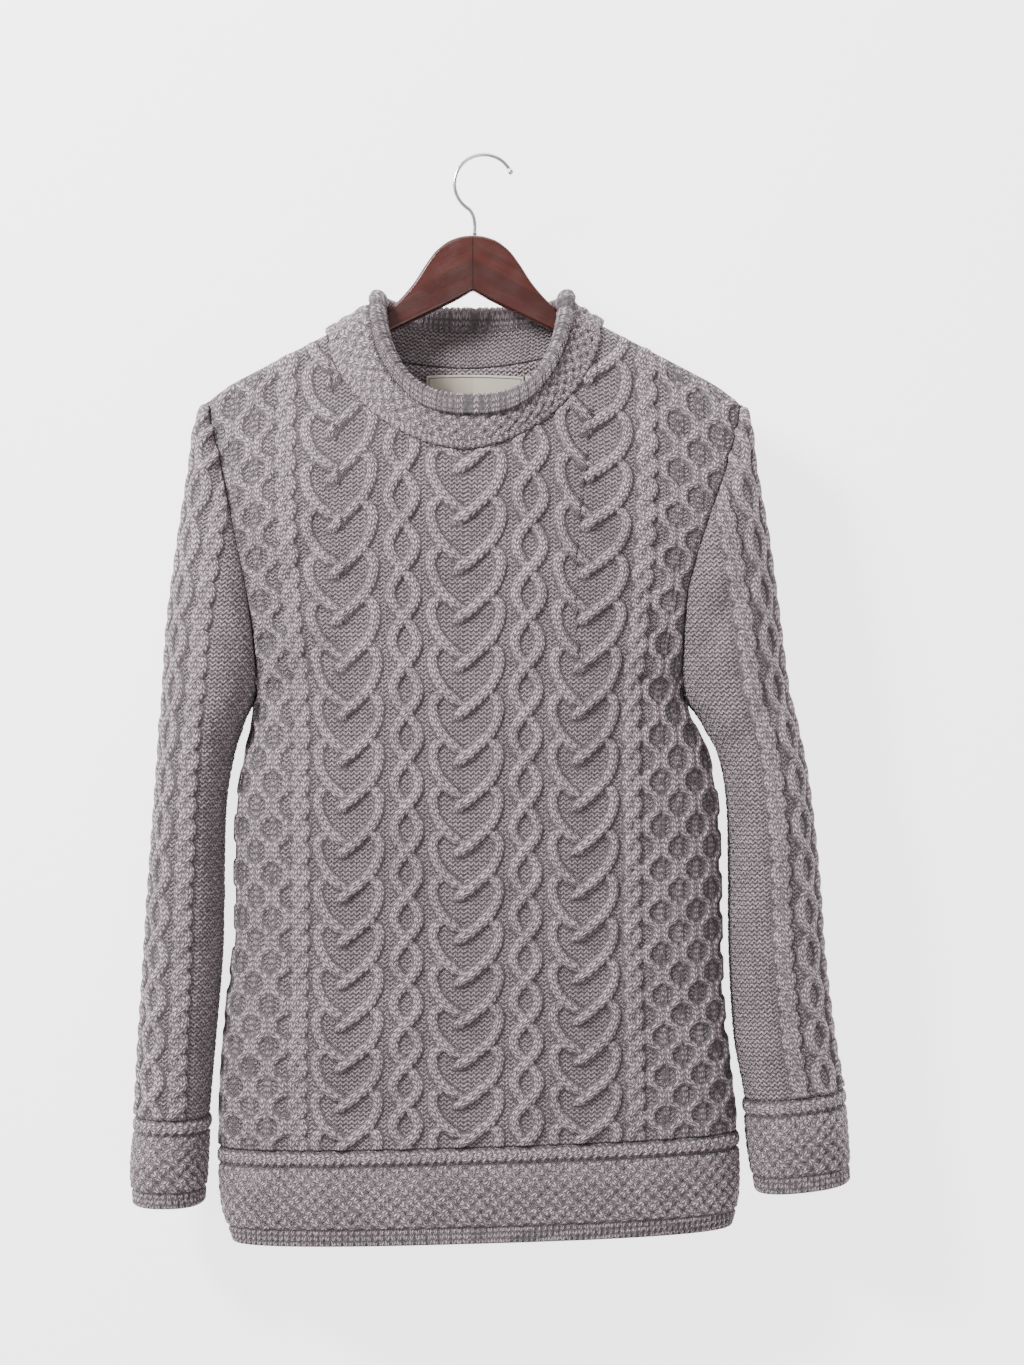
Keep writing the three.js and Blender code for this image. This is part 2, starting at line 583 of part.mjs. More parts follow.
// Front or back, from the shoulder and neck to the hem band
function bodyPanel(face) {
  const toward = new THREE.Vector3(0, face === "front" ? -1 : 1, 0);
  const end = BODY_END - SEAM_GAP / 2;
  const rows = rowsBetween(100, 150, end);
  const columns = bodyColumns();
  const lines = columns.map((c) => c.at);
  const surface = (u, v) => bodyPoint(face, u, v);
  const stripRow = (u) => topRow(face, u) + EDGE_STRIP;

  // Shoulder tips and neck points, as columns
  const topX = (column) => bodyPoint(face, column, topRow(face, column)).x;
  const neckColumn = (sign) =>
    sign * solve((c) => sign * (topX(sign * c) - NECK.x) - NECK.half, 60, 150);
  const tipRow = (side) => {
    const gapBelow = (row) => rowDown(edgeColumn(side, face, row), row) - tipDown(side);
    return solve(gapBelow, 100, 300);
  };

  const sideStops = (side) => {
    const first = tipRow(side);
    const start = first + EDGE_STRIP;
    const halfway = rows.map((r, i) => (r + rows[Math.max(i - 1, 0)]) / 2).filter((r) => r < UNDERARM);
    const near = [first + 9, UNDERARM - 7, UNDERARM - 2.5, ...halfway];
    const clear = near.filter((r) => r > start + 2 && rows.every((s) => Math.abs(s - r) > 1.5));
    const stops = [start, ...clear, ...rows.filter((r) => r > start)].sort((a, b) => a - b);
    return crossings(stops, (r) => edgeColumn(side, face, r), lines);
  };
  const sideVertex = (side) => (row) => {
    const u = edgeColumn(side, face, row);
    const down = rowDown(u, row);
    const sign = side === "left" ? -1 : 1;
    const onArmhole = row < UNDERARM + 0.01;
    const point = armholePoint(side, face, down);
    const normal = onArmhole ? armholeNormal(side, face, down) : new THREE.Vector3(sign, 0, 0);
    if (onArmhole) point.x -= (sign * SEAM_GAP) / 2;
    else point.y += (toward.y * SEAM_GAP) / 2;
    return { u, v: row, point, normal };
  };

  // Top edge from the right tip to the left tip
  const rightTip = edgeColumn("right", face, tipRow("right") + EDGE_STRIP);
  const leftTip = edgeColumn("left", face, tipRow("left") + EDGE_STRIP);
  const inner = lines.filter((l) => l < rightTip - 1 && l > leftTip + 1);
  const stops = [rightTip, ...inner, neckColumn(1), neckColumn(-1), leftTip].sort((a, b) => b - a);
  const topStops = crossings(stops, stripRow, rows);
  const ridgeNormal = (x) => new THREE.Vector3(Math.sign(x - APEX.x) * APEX.slope, 0, 1).normalize();
  const strip = [];
  const under = topStops.map((u, i) => {
    const ends = i === 0 ? "right" : i === topStops.length - 1 ? "left" : null;
    const v = ends ? tipRow(ends) + EDGE_STRIP : stripRow(u);
    if (ends) {
      const tip = armholePoint(ends, face, tipDown(ends));
      tip.x -= (Math.sign(tip.x) * SEAM_GAP) / 2;
      strip.push({ point: tip.setY((toward.y * SEAM_GAP) / 2), normal: new THREE.Vector3(0, 0, 1) });
      return sideVertex(ends)(v);
    }
    const top = bodyPoint(face, u, topRow(face, u));
    const shoulder = Math.abs(top.x - NECK.x) > NECK.half - 0.05;
    const below = withNormal(surface, u, topRow(face, u) + 1, toward);
    const normal = shoulder ? ridgeNormal(top.x) : below.normal;
    if (shoulder) top.y = (toward.y * SEAM_GAP) / 2;
    const leave = top.clone().sub(bodyPoint(face, u, v)).normalize();
    strip.push({ point: top, normal, leave, neck: Math.abs(top.x - NECK.x) < NECK.half + 0.05 });
    return { u, v, ...withNormal(surface, u, v, toward) };
  });

  // Border, anticlockwise seen from the front
  const rightSide = sideStops("right").map(sideVertex("right")).reverse();
  const leftSide = sideStops("left").map(sideVertex("left"));
  const corners = [leftSide[leftSide.length - 1].u, rightSide[0].u];
  const bottomStops = lines.filter((l) => l > corners[0] + 1 && l < corners[1] - 1);
  const bottom = bottomStops.map((u) => ({ u, v: end, ...withNormal(surface, u, end, toward) }));
  const loop = [...bottom, ...rightSide.slice(0, -1), ...under, ...leftSide.slice(1)];
  strip[0].over = bottom.length + rightSide.length - 1;

  // Clear distance of a stitch from the border, negative outside it
  const tipStrips = { left: tipRow("left") + EDGE_STRIP, right: tipRow("right") + EDGE_STRIP };
  const clearance = remember((u, v) => {
    const side = u < 0 ? "left" : "right";
    const fromEdge = v > tipStrips[side] ? Math.abs(edgeColumn(side, face, v)) - Math.abs(u) : Infinity;
    return Math.min(end - v, v - stripRow(u), fromEdge);
  });
  const fade = (u, v) => clamp(clearance(u, v) / BORDER_FADE, 0, 1);
  const ground = (c, r) => {
    const sway = (c.sway || 0) * sideways(r) * fade(c.at, r);
    return withNormal(surface, c.at + sway, r, toward);
  };
  const geometry = clothWall({
    columns,
    rows,
    innerColumns: every(columns, 4, ((columns.length - 1) / 2) % 4),
    innerRows: every(rows, 4),
    loop,
    strip,
    inside: (u, v) => clearance(u, v) > 1e-4,
    ground,
    raised: (c, r) => cableHeight(c, r) * fade(c.at, r),
    keep: keepInBody,
  });
  return { geometry, neckline: strip.filter((s) => s.neck) };
}

// Sleeve: half of a cross section on one face, from the outer edge to the armhole or inner edge
function sleeveSection(side, face, down) {
  const { sign, rows } = SLEEVES[side];
  const outer = along(rows, "outer", down);
  let depth = along(rows, face, down);
  let a = (sign * (outer - along(rows, "inner", down))) / 2;
  let reach = null;
  if (down < UNDERARM) {
    const edge = armholePoint(side, face, Math.max(down, tipDown(side)));
    const width = Math.max(sign * (outer - edge.x), 0.2);
    const out = Math.abs(edge.y);
    depth = Math.min(depth, out + 0.8 * width);
    const share = Math.min(out / depth, 0.98);
    const past = (1 - share ** SLEEVE_ROUNDNESS) ** (1 / SLEEVE_ROUNDNESS);
    a = width / (1 + past);
    reach = a * past;
  }
  const curve = quarter(a, depth, SLEEVE_ROUNDNESS);
  const half = curve.length + (reach === null ? curve.length : curve.byX(reach).arc);
  return { sign, middle: outer - sign * a, curve, half };
}
function sleevePoint(side, column, row) {
  const around = column + SLEEVE_TURN;
  const face = around > 0 ? "front" : "back";
  const level = sleeveSection(side, face, row);
  const full = Math.min(Math.abs(around) / level.half, 1);
  const settle = smooth(clamp((row - UNDERARM) / 250, 0, 1));
  const down = row - SLEEVES[side].lean * settle * Math.cos(Math.PI * full);
  const { sign, middle, curve, half } = sleeveSection(side, face, down);
  const arc = Math.min(Math.abs(around), half);
  const outerQuarter = arc < curve.length;
  const at = curve.byArc(Math.abs(curve.length - arc));
  const x = middle + sign * (outerQuarter ? at.x : -at.x);
  return new THREE.Vector3(x, face === "front" ? -at.y : at.y, -down);
}
const sleeveEdge = (side, face, row) => {
  const half = sleeveSection(side, face, row).half;
  return (face === "front" ? half : -half) - SLEEVE_TURN;
};
function sleeveGround(side, u, v) {
  const { middle } = sleeveSection(side, "front", v);
  const point = sleevePoint(side, u, v);
  const away = new THREE.Vector3(point.x - middle, point.y, 0);
  return withNormal((a, b) => sleevePoint(side, a, b), u, v, away);
}

// The seam of a sleeve: its inner edge
function seamPoint(side, row) {
  const { rows, lean } = SLEEVES[side];
  const down = row + lean * smooth(clamp((row - UNDERARM) / 250, 0, 1));
  return new THREE.Vector3(along(rows, "inner", down), 0, -down);
}

// Columns of a sleeve: the cables in the middle and moss stitch towards its seam
function sleeveColumns(from, to) {
  const half = SLEEVE_COLUMNS.map((c) => ({ ...c }));
  const last = half[half.length - 1].at;
  for (let k = 1; last + k * MOSS_PITCH < Math.max(to, -from); k++)
    half.push({ at: last + k * MOSS_PITCH, moss: k % 2 });
  const mirrored = half.slice(1).map((c) => ({ ...c, at: -c.at }));
  const inner = [...mirrored.reverse(), ...half].filter((c) => c.at > from && c.at < to);
  return [{ at: from, moss: 0 }, ...inner, { at: to, moss: 0 }];
}
const mossHeight = (column, row) => (Math.round(2 * repeatAt(row)) % 2 === column.moss ? MOSS : 0);

// Closed tube of cloth below the armhole, with its seam along the inner edge
function tubePanel({ side, rows, columns, raised, top }) {
  const end = rows[rows.length - 1];
  const lines = columns.map((c) => c.at);
  const seamVertex = (face) => (row) => {
    const u = sleeveEdge(side, face, row);
    const { sign } = SLEEVES[side];
    if (top === "armhole" && row < UNDERARM + 0.01) {
      const point = armholePoint(side, face, row);
      point.x += (sign * SEAM_GAP) / 2;
      return { u, v: row, point, normal: armholeNormal(side, face, row), sewn: row > UNDERARM - 0.01 };
    }
    const normal = new THREE.Vector3(-sign, 0, 0);
    return { u, v: row, point: seamPoint(side, row), normal, sewn: true };
  };
  const start = top === "armhole" ? tipDown(side) : rows[0];
  const halfway = rows.map((r, i) => (r + rows[Math.max(i - 1, 0)]) / 2).filter((r) => r < UNDERARM);
  const near = [start + 2, start + 5, start + 9, UNDERARM - 7, UNDERARM - 2.5, ...halfway];
  const clear = near.filter((r) => r > start + 1 && rows.every((s) => Math.abs(s - r) > 1.5));
  const listed = [start, ...(top === "armhole" ? clear : []), ...rows.filter((r) => r > start + 1e-6)];
  const stops = listed.sort((a, b) => a - b);
  // Both edges of the seam share their vertices
  const faces = ["front", "back"];
  const crossed = faces.map((face) => crossings(stops, (r) => sleeveEdge(side, face, r), lines));
  const sewn = (r) => top !== "armhole" || r > UNDERARM;
  const shared = [...new Set(crossed.flat().filter(sewn))].sort((a, b) => a - b);
  const [right, left] = crossed.map((list, i) =>
    [...list.filter((r) => !sewn(r)), ...shared].map(seamVertex(faces[i])),
  );
  const between = (row) => {
    const [low, high] = [sleeveEdge(side, "back", row), sleeveEdge(side, "front", row)];
    const kept = lines.filter((l) => l > low + 1e-4 && l < high - 1e-4);
    return kept.map((u) => ({ u, v: row, ...sleeveGround(side, u, row) }));
  };
  const tip = top === "armhole" ? [] : between(start).reverse();
  if (top === "armhole") {
    const ridge = { u: -SLEEVE_TURN, v: start, normal: new THREE.Vector3(0, 0, 1) };
    right[0] = { ...ridge, point: right[0].point };
    left.shift();
  }
  const loop = [...between(end), ...right.reverse(), ...tip, ...left];
  const clearance = remember((u, v) => {
    if (v < start) return -1;
    const ends = top === "armhole" ? Infinity : v - start;
    const across = Math.min(sleeveEdge(side, "front", v) - u, u - sleeveEdge(side, "back", v));
    return Math.min(end - v, ends, across);
  });
  const calm = (u, v) => clamp((v < UNDERARM ? clearance(u, v) : end - v) / BORDER_FADE, 0, 1);
  return clothWall({
    columns,
    rows: top === "armhole" ? [start - 1, ...rows.filter((r) => r > start)] : rows,
    innerColumns: every(columns, 3),
    innerRows: top === "armhole" ? [start - 1, ...every(rows.filter((r) => r > start), 3)] : every(rows, 3),
    loop,
    strip: [],
    inside: (u, v) => clearance(u, v) > 1e-4,
    ground: (c, r) => sleeveGround(side, c.at, r),
    raised: (c, r) => raised(c, r) * (top === "armhole" ? calm(c.at, r) : 1),
    keep: (p) => keepInSleeve(p, side),
  });
}

function sleevePanel(side) {
  const end = SLEEVES[side].cuff - SEAM_GAP / 2;
  const rows = rowsBetween(100, tipDown(side) + 6, end).slice(1);
  const raised = (c, r) => (c.moss === undefined ? cableHeight(c, r) : mossHeight(c, r));
  return tubePanel({ side, rows, columns: sleeveColumns(-190, 160), raised, top: "armhole" });
}

// Relief of the hem and cuff bands: a braid at the seam, a woven cable and a ribbed edge
function bandRelief(rows, columns) {
  return (c, r) => {
    const { form } = BAND_ROWS[rows.indexOf(r)];
    const odd = (columns.indexOf(c) + rows.indexOf(r)) % 2;
    if (form === "ridge") return RIDGE;
    if (form === "basket") return odd ? BASKET : 0.3;
    if (form === "rib") return columns.indexOf(c) % 2 ? BASKET : 0;
    return 0;
  };
}
const bandRowsOver = (from, to) => BAND_ROWS.map(({ share }) => from + share * (to - from));

function cuffPanel(side) {
  const rows = bandRowsOver(SLEEVES[side].cuff + SEAM_GAP / 2, SLEEVES[side].end);
  const columns = [];
  for (let at = -170; at <= 110; at += BAND_PITCH) columns.push({ at });
  return tubePanel({ side, rows, columns, raised: bandRelief(rows, columns), top: "band" });
}

function hemPanel(face) {
  const toward = new THREE.Vector3(0, face === "front" ? -1 : 1, 0);
  const rows = bandRowsOver(BODY_END + SEAM_GAP / 2, HEM_END);
  const [start, end] = [rows[0], rows[rows.length - 1]];
  const columns = [];
  for (let at = -21 * BAND_PITCH; at <= 21.5 * BAND_PITCH; at += BAND_PITCH) columns.push({ at });
  const lines = columns.map((c) => c.at);
  const surface = (u, v) => bodyPoint(face, u, v);
  const sideVertex = (side) => (row) => {
    const u = edgeColumn(side, face, row);
    const point = bodyPoint(face, u, row).setY((toward.y * SEAM_GAP) / 2);
    return { u, v: row, point, normal: new THREE.Vector3(side === "left" ? -1 : 1, 0, 0) };
  };
  const edges = ["right", "left"].map((side) =>
    crossings(rows, (r) => edgeColumn(side, face, r), lines).map(sideVertex(side)),
  );
  const across = (row) => {
    const [low, high] = [edgeColumn("left", face, row), edgeColumn("right", face, row)];
    const kept = lines.filter((l) => l > low + 1e-4 && l < high - 1e-4);
    return kept.map((u) => ({ u, v: row, ...withNormal(surface, u, row, toward) }));
  };
  const loop = [...across(end), ...edges[0].reverse(), ...across(start).reverse(), ...edges[1]];
  const clearance = remember((u, v) => {
    const side = u < 0 ? "left" : "right";
    const fromEdge = Math.abs(edgeColumn(side, face, v)) - Math.abs(u);
    return Math.min(end - v, v - start, fromEdge);
  });
  const relief = bandRelief(rows, columns);
  return clothWall({
    columns,
    rows,
    innerColumns: every(columns, 3),
    innerRows: every(rows, 4),
    loop,
    strip: [],
    inside: (u, v) => clearance(u, v) > 1e-4,
    ground: (c, r) => withNormal(surface, c.at, r, toward),
    raised: (c, r) => relief(c, r),
    keep: keepInBody,
  });
}

// Collar: a band that stands on the neckline and rolls outwards
function collarBand(front, back) {
  const ring = [...front, ...[...back].reverse().slice(1, -1)];
  const atEnd = (v) => Math.abs(v.point.x - NECK.x) > NECK.half - 0.1;
  const kept = ring.filter((v, i) => atEnd(v) || i % 2 === 0);
  const base = kept.map((v) => {
    const outer = v.point.clone().addScaledVector(v.leave, SEAM_GAP);
    return { outer, inner: outer.clone().addScaledVector(v.normal, -WALL) };
  });
  const middles = base.map(({ outer, inner }) => {
    const foot = outer.clone().add(inner).multiplyScalar(0.5);
    const across = (foot.x - NECK.x) / NECK.half;
    const forward = -foot.y / (foot.y < 0 ? NECK_DEPTH.front : NECK_DEPTH.back);
    const turn = Math.atan2(across, forward);
    const [sin, cos] = [Math.sin(turn), Math.cos(turn)];
    const out = new THREE.Vector3(sin * COLLAR.deep, -cos * COLLAR.half, 0).normalize();
    const level = cos > 0 ? COLLAR.front : COLLAR.back;
    const bend = Math.abs(cos) ** (cos > 0 ? COLLAR.power : 1);
    const down = COLLAR.side + (level - COLLAR.side) * bend;
    const bulge = 2 / COLLAR_ROUNDNESS;
    const x = COLLAR.x + COLLAR.half * Math.sign(sin) * Math.abs(sin) ** bulge;
    const y = COLLAR.y - COLLAR.deep * Math.sign(cos) * Math.abs(cos) ** bulge;
    const centre = new THREE.Vector3(x, y, -down - ROLL.radius);
    const stand = centre.clone().addScaledVector(out, -ROLL.radius);
    const points = COLLAR_STEPS.map((t) => {
      const belly = COLLAR_BELLY * Math.sin(Math.PI * t);
      return foot.clone().lerp(stand, t).addScaledVector(out, belly * bend);
    });
    const last = ROLL.curled + (1 - bend) * ROLL.slack;
    for (let k = 0; k <= ROLL.steps; k++) {
      const angle = THREE.MathUtils.degToRad(180 + ((last - 180) * k) / ROLL.steps);
      const p = centre.clone().addScaledVector(out, ROLL.radius * Math.cos(angle));
      points.push(p.setZ(centre.z + ROLL.radius * Math.sin(angle)));
    }
    const tail = points[points.length - 1].clone();
    const drop = ROLL.drop + ROLL.tail * bend;
    points.push(tail.addScaledVector(out, ROLL.out).setZ(tail.z - drop));
    return points;
  });
  const count = middles.length;
  const rings = middles[0].length;
  const sides = { outer: [], inner: [] };
  for (let i = 0; i < count; i++) {
    for (let k = 0; k < rings; k++) {
      const here = middles[i][k];
      const around = middles[(i + 1) % count][k].clone().sub(middles[(i + count - 1) % count][k]);
      const up = middles[i][Math.min(k + 1, rings - 1)].clone().sub(middles[i][Math.max(k - 1, 0)]);
      const normal = around.cross(up).normalize();
      const half = COLLAR_WALL / 2;
      const woven = k > 1 && k < 5 ? (i + k) % 2 : 0;
      const relief = k === 1 ? RIDGE : woven * BASKET;
      const rib = k > 6 && k < rings - 1 ? (i % 2) * BASKET * 0.6 : 0;
      const outward = k === 0 ? base[i].outer : here.clone().addScaledVector(normal, -half - relief);
      const inward = k === 0 ? base[i].inner : here.clone().addScaledVector(normal, half + rib);
      sides.outer.push(outward);
      sides.inner.push(inward);
    }
  }
  const positions = [...sides.outer, ...sides.inner].flatMap((p) => p.toArray());
  const id = (i, k, inner) => (i % count) * rings + k + (inner ? count * rings : 0);
  const faces = [];
  const quad = (a, b, c, d) => faces.push([a, b, c], [a, c, d]);
  for (let i = 0; i < count; i++) {
    for (let k = 0; k + 1 < rings; k++) {
      quad(id(i, k), id(i + 1, k), id(i + 1, k + 1), id(i, k + 1));
      quad(id(i, k, true), id(i, k + 1, true), id(i + 1, k + 1, true), id(i + 1, k, true));
    }
    quad(id(i, 0), id(i, 0, true), id(i + 1, 0, true), id(i + 1, 0));
    const rim = rings - 1;
    quad(id(i, rim), id(i + 1, rim), id(i + 1, rim, true), id(i, rim, true));
  }
  return closedGeometry(positions, faces);
}

// A thin plate on the inside of the back, from the back's own points moved inwards
function insidePlate({ from, to, top, bottom, across, off, thick }) {
  const toward = new THREE.Vector3(0, 1, 0);
  const surface = (u, v) => bodyPoint("back", u, v);
  const downs = 2;
  const positions = [];
  for (const depth of [off, off + thick]) {
    for (let i = 0; i <= across; i++) {
      for (let j = 0; j <= downs; j++) {
        const u = from + ((to - from) * i) / across;
        const v = top + ((bottom - top) * j) / downs;
        const { point, normal } = withNormal(surface, u, v, toward);
        positions.push(...point.addScaledVector(normal, -WALL - depth).toArray());
      }
    }
  }
  const size = (across + 1) * (downs + 1);
  const id = (i, j, under) => i * (downs + 1) + j + (under ? size : 0);
  const faces = [];
  const quad = (a, b, c, d) => faces.push([a, b, c], [a, c, d]);
  for (let i = 0; i < across; i++) {
    for (let j = 0; j < downs; j++) {
      quad(id(i, j), id(i, j + 1), id(i + 1, j + 1), id(i + 1, j));
      quad(id(i, j, true), id(i + 1, j, true), id(i + 1, j + 1, true), id(i, j + 1, true));
    }
    quad(id(i, 0), id(i + 1, 0), id(i + 1, 0, true), id(i, 0, true));
    quad(id(i, downs), id(i, downs, true), id(i + 1, downs, true), id(i + 1, downs));
  }
  for (let j = 0; j < downs; j++) {
    quad(id(0, j), id(0, j, true), id(0, j + 1, true), id(0, j + 1));
    quad(id(across, j), id(across, j + 1), id(across, j + 1, true), id(across, j, true));
  }
  return closedGeometry(positions, faces);
}

// Hanger: a flat board with a bell-shaped top, two arms and a notch below the middle
function hangerBoard() {
  const { x, top, thick, bevel, reach, rest, notch } = HANGER;
  const slant = Math.hypot(1, APEX.slope);
  const armTop = (d) => APEX.down + APEX.slope * d + (WALL + rest) * slant;
  const arm = HANGER_ARM.map(({ d, below }) => ({ d, down: armTop(d) + below }));
  const end = { d: reach - 5, down: armTop(reach) + 14 };
  const half = [...HANGER_HEAD, ...arm, end, ...HANGER_UNDERSIDE];
  const right = half.map(({ d, down }) => new THREE.Vector2(x + d, -down));
  const left = half.map(({ d, down }) => new THREE.Vector2(x - d, -down)).reverse();
  const middleTop = new THREE.Vector2(x, -top);
  const middleNotch = new THREE.Vector2(x, -notch);
  const shape = new THREE.Shape([middleTop, ...right, middleNotch, ...left].reverse());
  const board = new THREE.ExtrudeGeometry(shape, {
    depth: thick - 2 * bevel,
    bevelThickness: bevel,
    bevelSize: bevel,
    bevelOffset: -bevel,
    bevelSegments: 2,
  });
  board.translate(0, 0, -(thick - 2 * bevel) / 2);
  return board.rotateX(Math.PI / 2);
}

// Hook: a wire bent round the peg, with a rounded tip, and a stem down to the hanger
function solidOf(geometry) {
  const bare = geometry.clone();
  bare.deleteAttribute("normal");
  bare.deleteAttribute("uv");
  const merged = mergeVertices(bare, 1e-4);
  return new wasm.Manifold(
    new wasm.Mesh({
      numProp: 3,
      vertProperties: new Float32Array(merged.attributes.position.array),
      triVerts: new Uint32Array(merged.index.array),
    }),
  );
}
function wireHook() {
  const { radius, wire, stem, tip, from, to, steps } = HOOK;
  const centre = new THREE.Vector3(0, 0, wire - radius);
  const points = [];
  for (let k = 0; k <= steps; k++) {
    const angle = THREE.MathUtils.degToRad(from + ((to - from) * k) / steps);
    const spot = new THREE.Vector3(Math.cos(angle), 0, Math.sin(angle));
    points.push(spot.multiplyScalar(radius).add(centre));
  }
  for (const { side, down } of STEM_BEND) points.push(new THREE.Vector3(stem + side, 0, -down));
  points.push(new THREE.Vector3(stem, 0, -HANGER.top + SEAM_GAP));
  const round = new THREE.Shape().absarc(0, 0, wire, 0, 2 * Math.PI);
  const path = new THREE.CatmullRomCurve3(points);
  const rod = new THREE.ExtrudeGeometry(round, { steps: 28, curveSegments: 4, extrudePath: path });
  const ball = new THREE.SphereGeometry(tip, 10, 6).translate(points[0].x, 0, points[0].z);
  const { vertProperties, triVerts } = solidOf(rod).add(solidOf(ball)).getMesh();
  const joined = new THREE.BufferGeometry();
  joined.setAttribute("position", new THREE.BufferAttribute(vertProperties, 3));
  joined.setIndex(new THREE.BufferAttribute(triVerts, 1));
  return joined;
}

// The garment and its hanger
const WOOL = 0x8f8789;
const garment = new THREE.Group();
function piece(name, geometry, color, roughness, metalness = 0) {
  const mesh = new THREE.Mesh(geometry, new THREE.MeshStandardMaterial({ color, roughness, metalness }));
  mesh.name = name;
  garment.add(mesh);
}
const front = bodyPanel("front");
const back = bodyPanel("back");
piece("front", front.geometry, WOOL, 0.95);
piece("back", back.geometry, WOOL, 0.95);
piece("sleeve_left", sleevePanel("left"), WOOL, 0.95);
piece("sleeve_right", sleevePanel("right"), WOOL, 0.95);
piece("hem_band_front", hemPanel("front"), WOOL, 0.95);
piece("hem_band_back", hemPanel("back"), WOOL, 0.95);
piece("cuff_left", cuffPanel("left"), WOOL, 0.95);
piece("cuff_right", cuffPanel("right"), WOOL, 0.95);
piece("collar", collarBand(front.neckline, back.neckline), WOOL, 0.95);
piece("label", insidePlate({ ...LABEL, across: 8 }), 0xd9cdb4, 0.7);
piece("size_tab", insidePlate({ ...SIZE_TAB, across: 2 }), 0xd9cdb4, 0.7);
piece("hanger", hangerBoard(), 0x5a2a24, 0.35);
piece("hook", wireHook(), 0xc9c9cc, 0.2, 1);

export default garment;
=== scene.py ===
"""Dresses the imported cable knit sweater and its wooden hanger.

Every cloth piece is worked out over stitch space: u is a column and v a row of the knitting, both
in millimetres of cloth. The forms give the plain ground under a stitch, the charts say what is
knitted there, and a wall turns both into a closed mesh with a raised outer face and a plain inner
one. Sizes in this script are in millimetres until a mesh is made. The flat cuts and the studio are
in metres, and so is what a material takes from the place on the garment.
"""

import logging
import math
from dataclasses import dataclass
from enum import Enum
from typing import Any, Callable, Sequence

import bpy
import numpy as np
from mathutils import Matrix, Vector


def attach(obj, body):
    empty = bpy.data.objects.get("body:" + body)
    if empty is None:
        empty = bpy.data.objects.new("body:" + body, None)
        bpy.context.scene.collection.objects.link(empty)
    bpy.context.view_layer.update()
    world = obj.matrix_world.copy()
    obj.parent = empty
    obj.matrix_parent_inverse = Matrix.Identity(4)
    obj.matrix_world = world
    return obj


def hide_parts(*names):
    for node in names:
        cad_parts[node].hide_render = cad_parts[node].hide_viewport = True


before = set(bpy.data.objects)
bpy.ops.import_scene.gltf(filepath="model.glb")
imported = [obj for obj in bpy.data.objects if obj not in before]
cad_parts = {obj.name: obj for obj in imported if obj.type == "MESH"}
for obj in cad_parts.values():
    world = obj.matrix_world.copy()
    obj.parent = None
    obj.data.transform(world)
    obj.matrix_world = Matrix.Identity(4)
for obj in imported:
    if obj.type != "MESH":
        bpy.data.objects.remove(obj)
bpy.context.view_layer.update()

Array = np.ndarray
MM = 0.001
log = logging.getLogger("sweater")

# Cloth
WALL = 3.4
CABLE = 3.2
SEAM = 0.2
ROUNDNESS = 2.6
SLEEVE_ROUNDNESS = 2.3
PATTERN_X = -13.0
BORDER_FADE = 5.0
SEAM_FADE, EDGE_FADE, EDGE_LEFT = 2.5, 1.5, 0.3

# Shoulder line, neckline and armholes
APEX_X, APEX_DOWN, SHOULDER_SLOPE = -8.5, 79.6, 0.52
TIP_ROUND_FROM, TIP_ROUND_OVER, TIP_DROP = 180.0, 30.0, 6.0
NECK_X, NECK_HALF, NECK_POWER = -15.0, 106.0, 1.75
UNDERARM = 416.0
SHOULDER_DOWN = 192.0
ARMHOLE_FULLNESS, ARMHOLE_POWER = 0.75, 3.2
FOLD_HEIGHT, FOLD_DEPTH = 9.0, 12.0
SLOPE_HEIGHT, SLOPE_POWER = 140.0, 1.7
BODY_END, HEM_END = 764.0, 838.0
SLEEVE_TURN = 38.0

# Knitting
FIRST_TIP, REPEAT_HEIGHT, REPEAT_SHRINK = 285.3, 38.3, 0.31
STRAND_WIDTH = 8.4
RIB_PITCH = 4.6
BASKET_PITCH = 11.5
HALVINGS = 34


class Face(Enum):
    """A face of the garment, with the direction in which it looks along Y."""

    FRONT = -1
    BACK = 1


class Side(Enum):
    """A side of the garment as the picture shows it, with its direction along X."""

    LEFT = -1
    RIGHT = 1


NECK_DOWN = {Face.FRONT: 231.0, Face.BACK: 162.0}
TIP_X = {Side.LEFT: -214.0, Side.RIGHT: 200.0}
CUFF_ROWS = {Side.LEFT: (746.0, 814.0), Side.RIGHT: (729.0, 801.0)}
CUFF_LEAN = {Side.LEFT: 0.0, Side.RIGHT: 4.5}


@dataclass(frozen=True)
class Track:
    """Values at rising stations, joined by a smooth curve."""

    names: tuple[str, ...]
    rows: tuple[tuple[float, ...], ...]

    def at(self, name: str, station: Array) -> Array:
        """Reads one column of the table.

        Args:
            name: The column's name.
            station: The places to read it at.

        Returns:
            The column's values there.
        """
        table = np.array(self.rows)
        place, value = table[:, 0], table[:, self.names.index(name)]
        last = len(place) - 1
        i = np.clip(np.searchsorted(place, station) - 1, 0, last - 1)
        before, after = np.maximum(i - 1, 0), np.minimum(i + 2, last)
        span = place[i + 1] - place[i]
        t = np.clip((station - place[i]) / span, 0, 1)
        start = (value[i + 1] - value[before]) / (place[i + 1] - place[before]) * span
        end = (value[after] - value[i]) / (place[after] - place[i]) * span
        return (
            value[i] * (2 * t**3 - 3 * t**2 + 1)
            + start * (t**3 - 2 * t**2 + t)
            + value[i + 1] * (3 * t**2 - 2 * t**3)
            + end * (t**3 - t**2)
        )


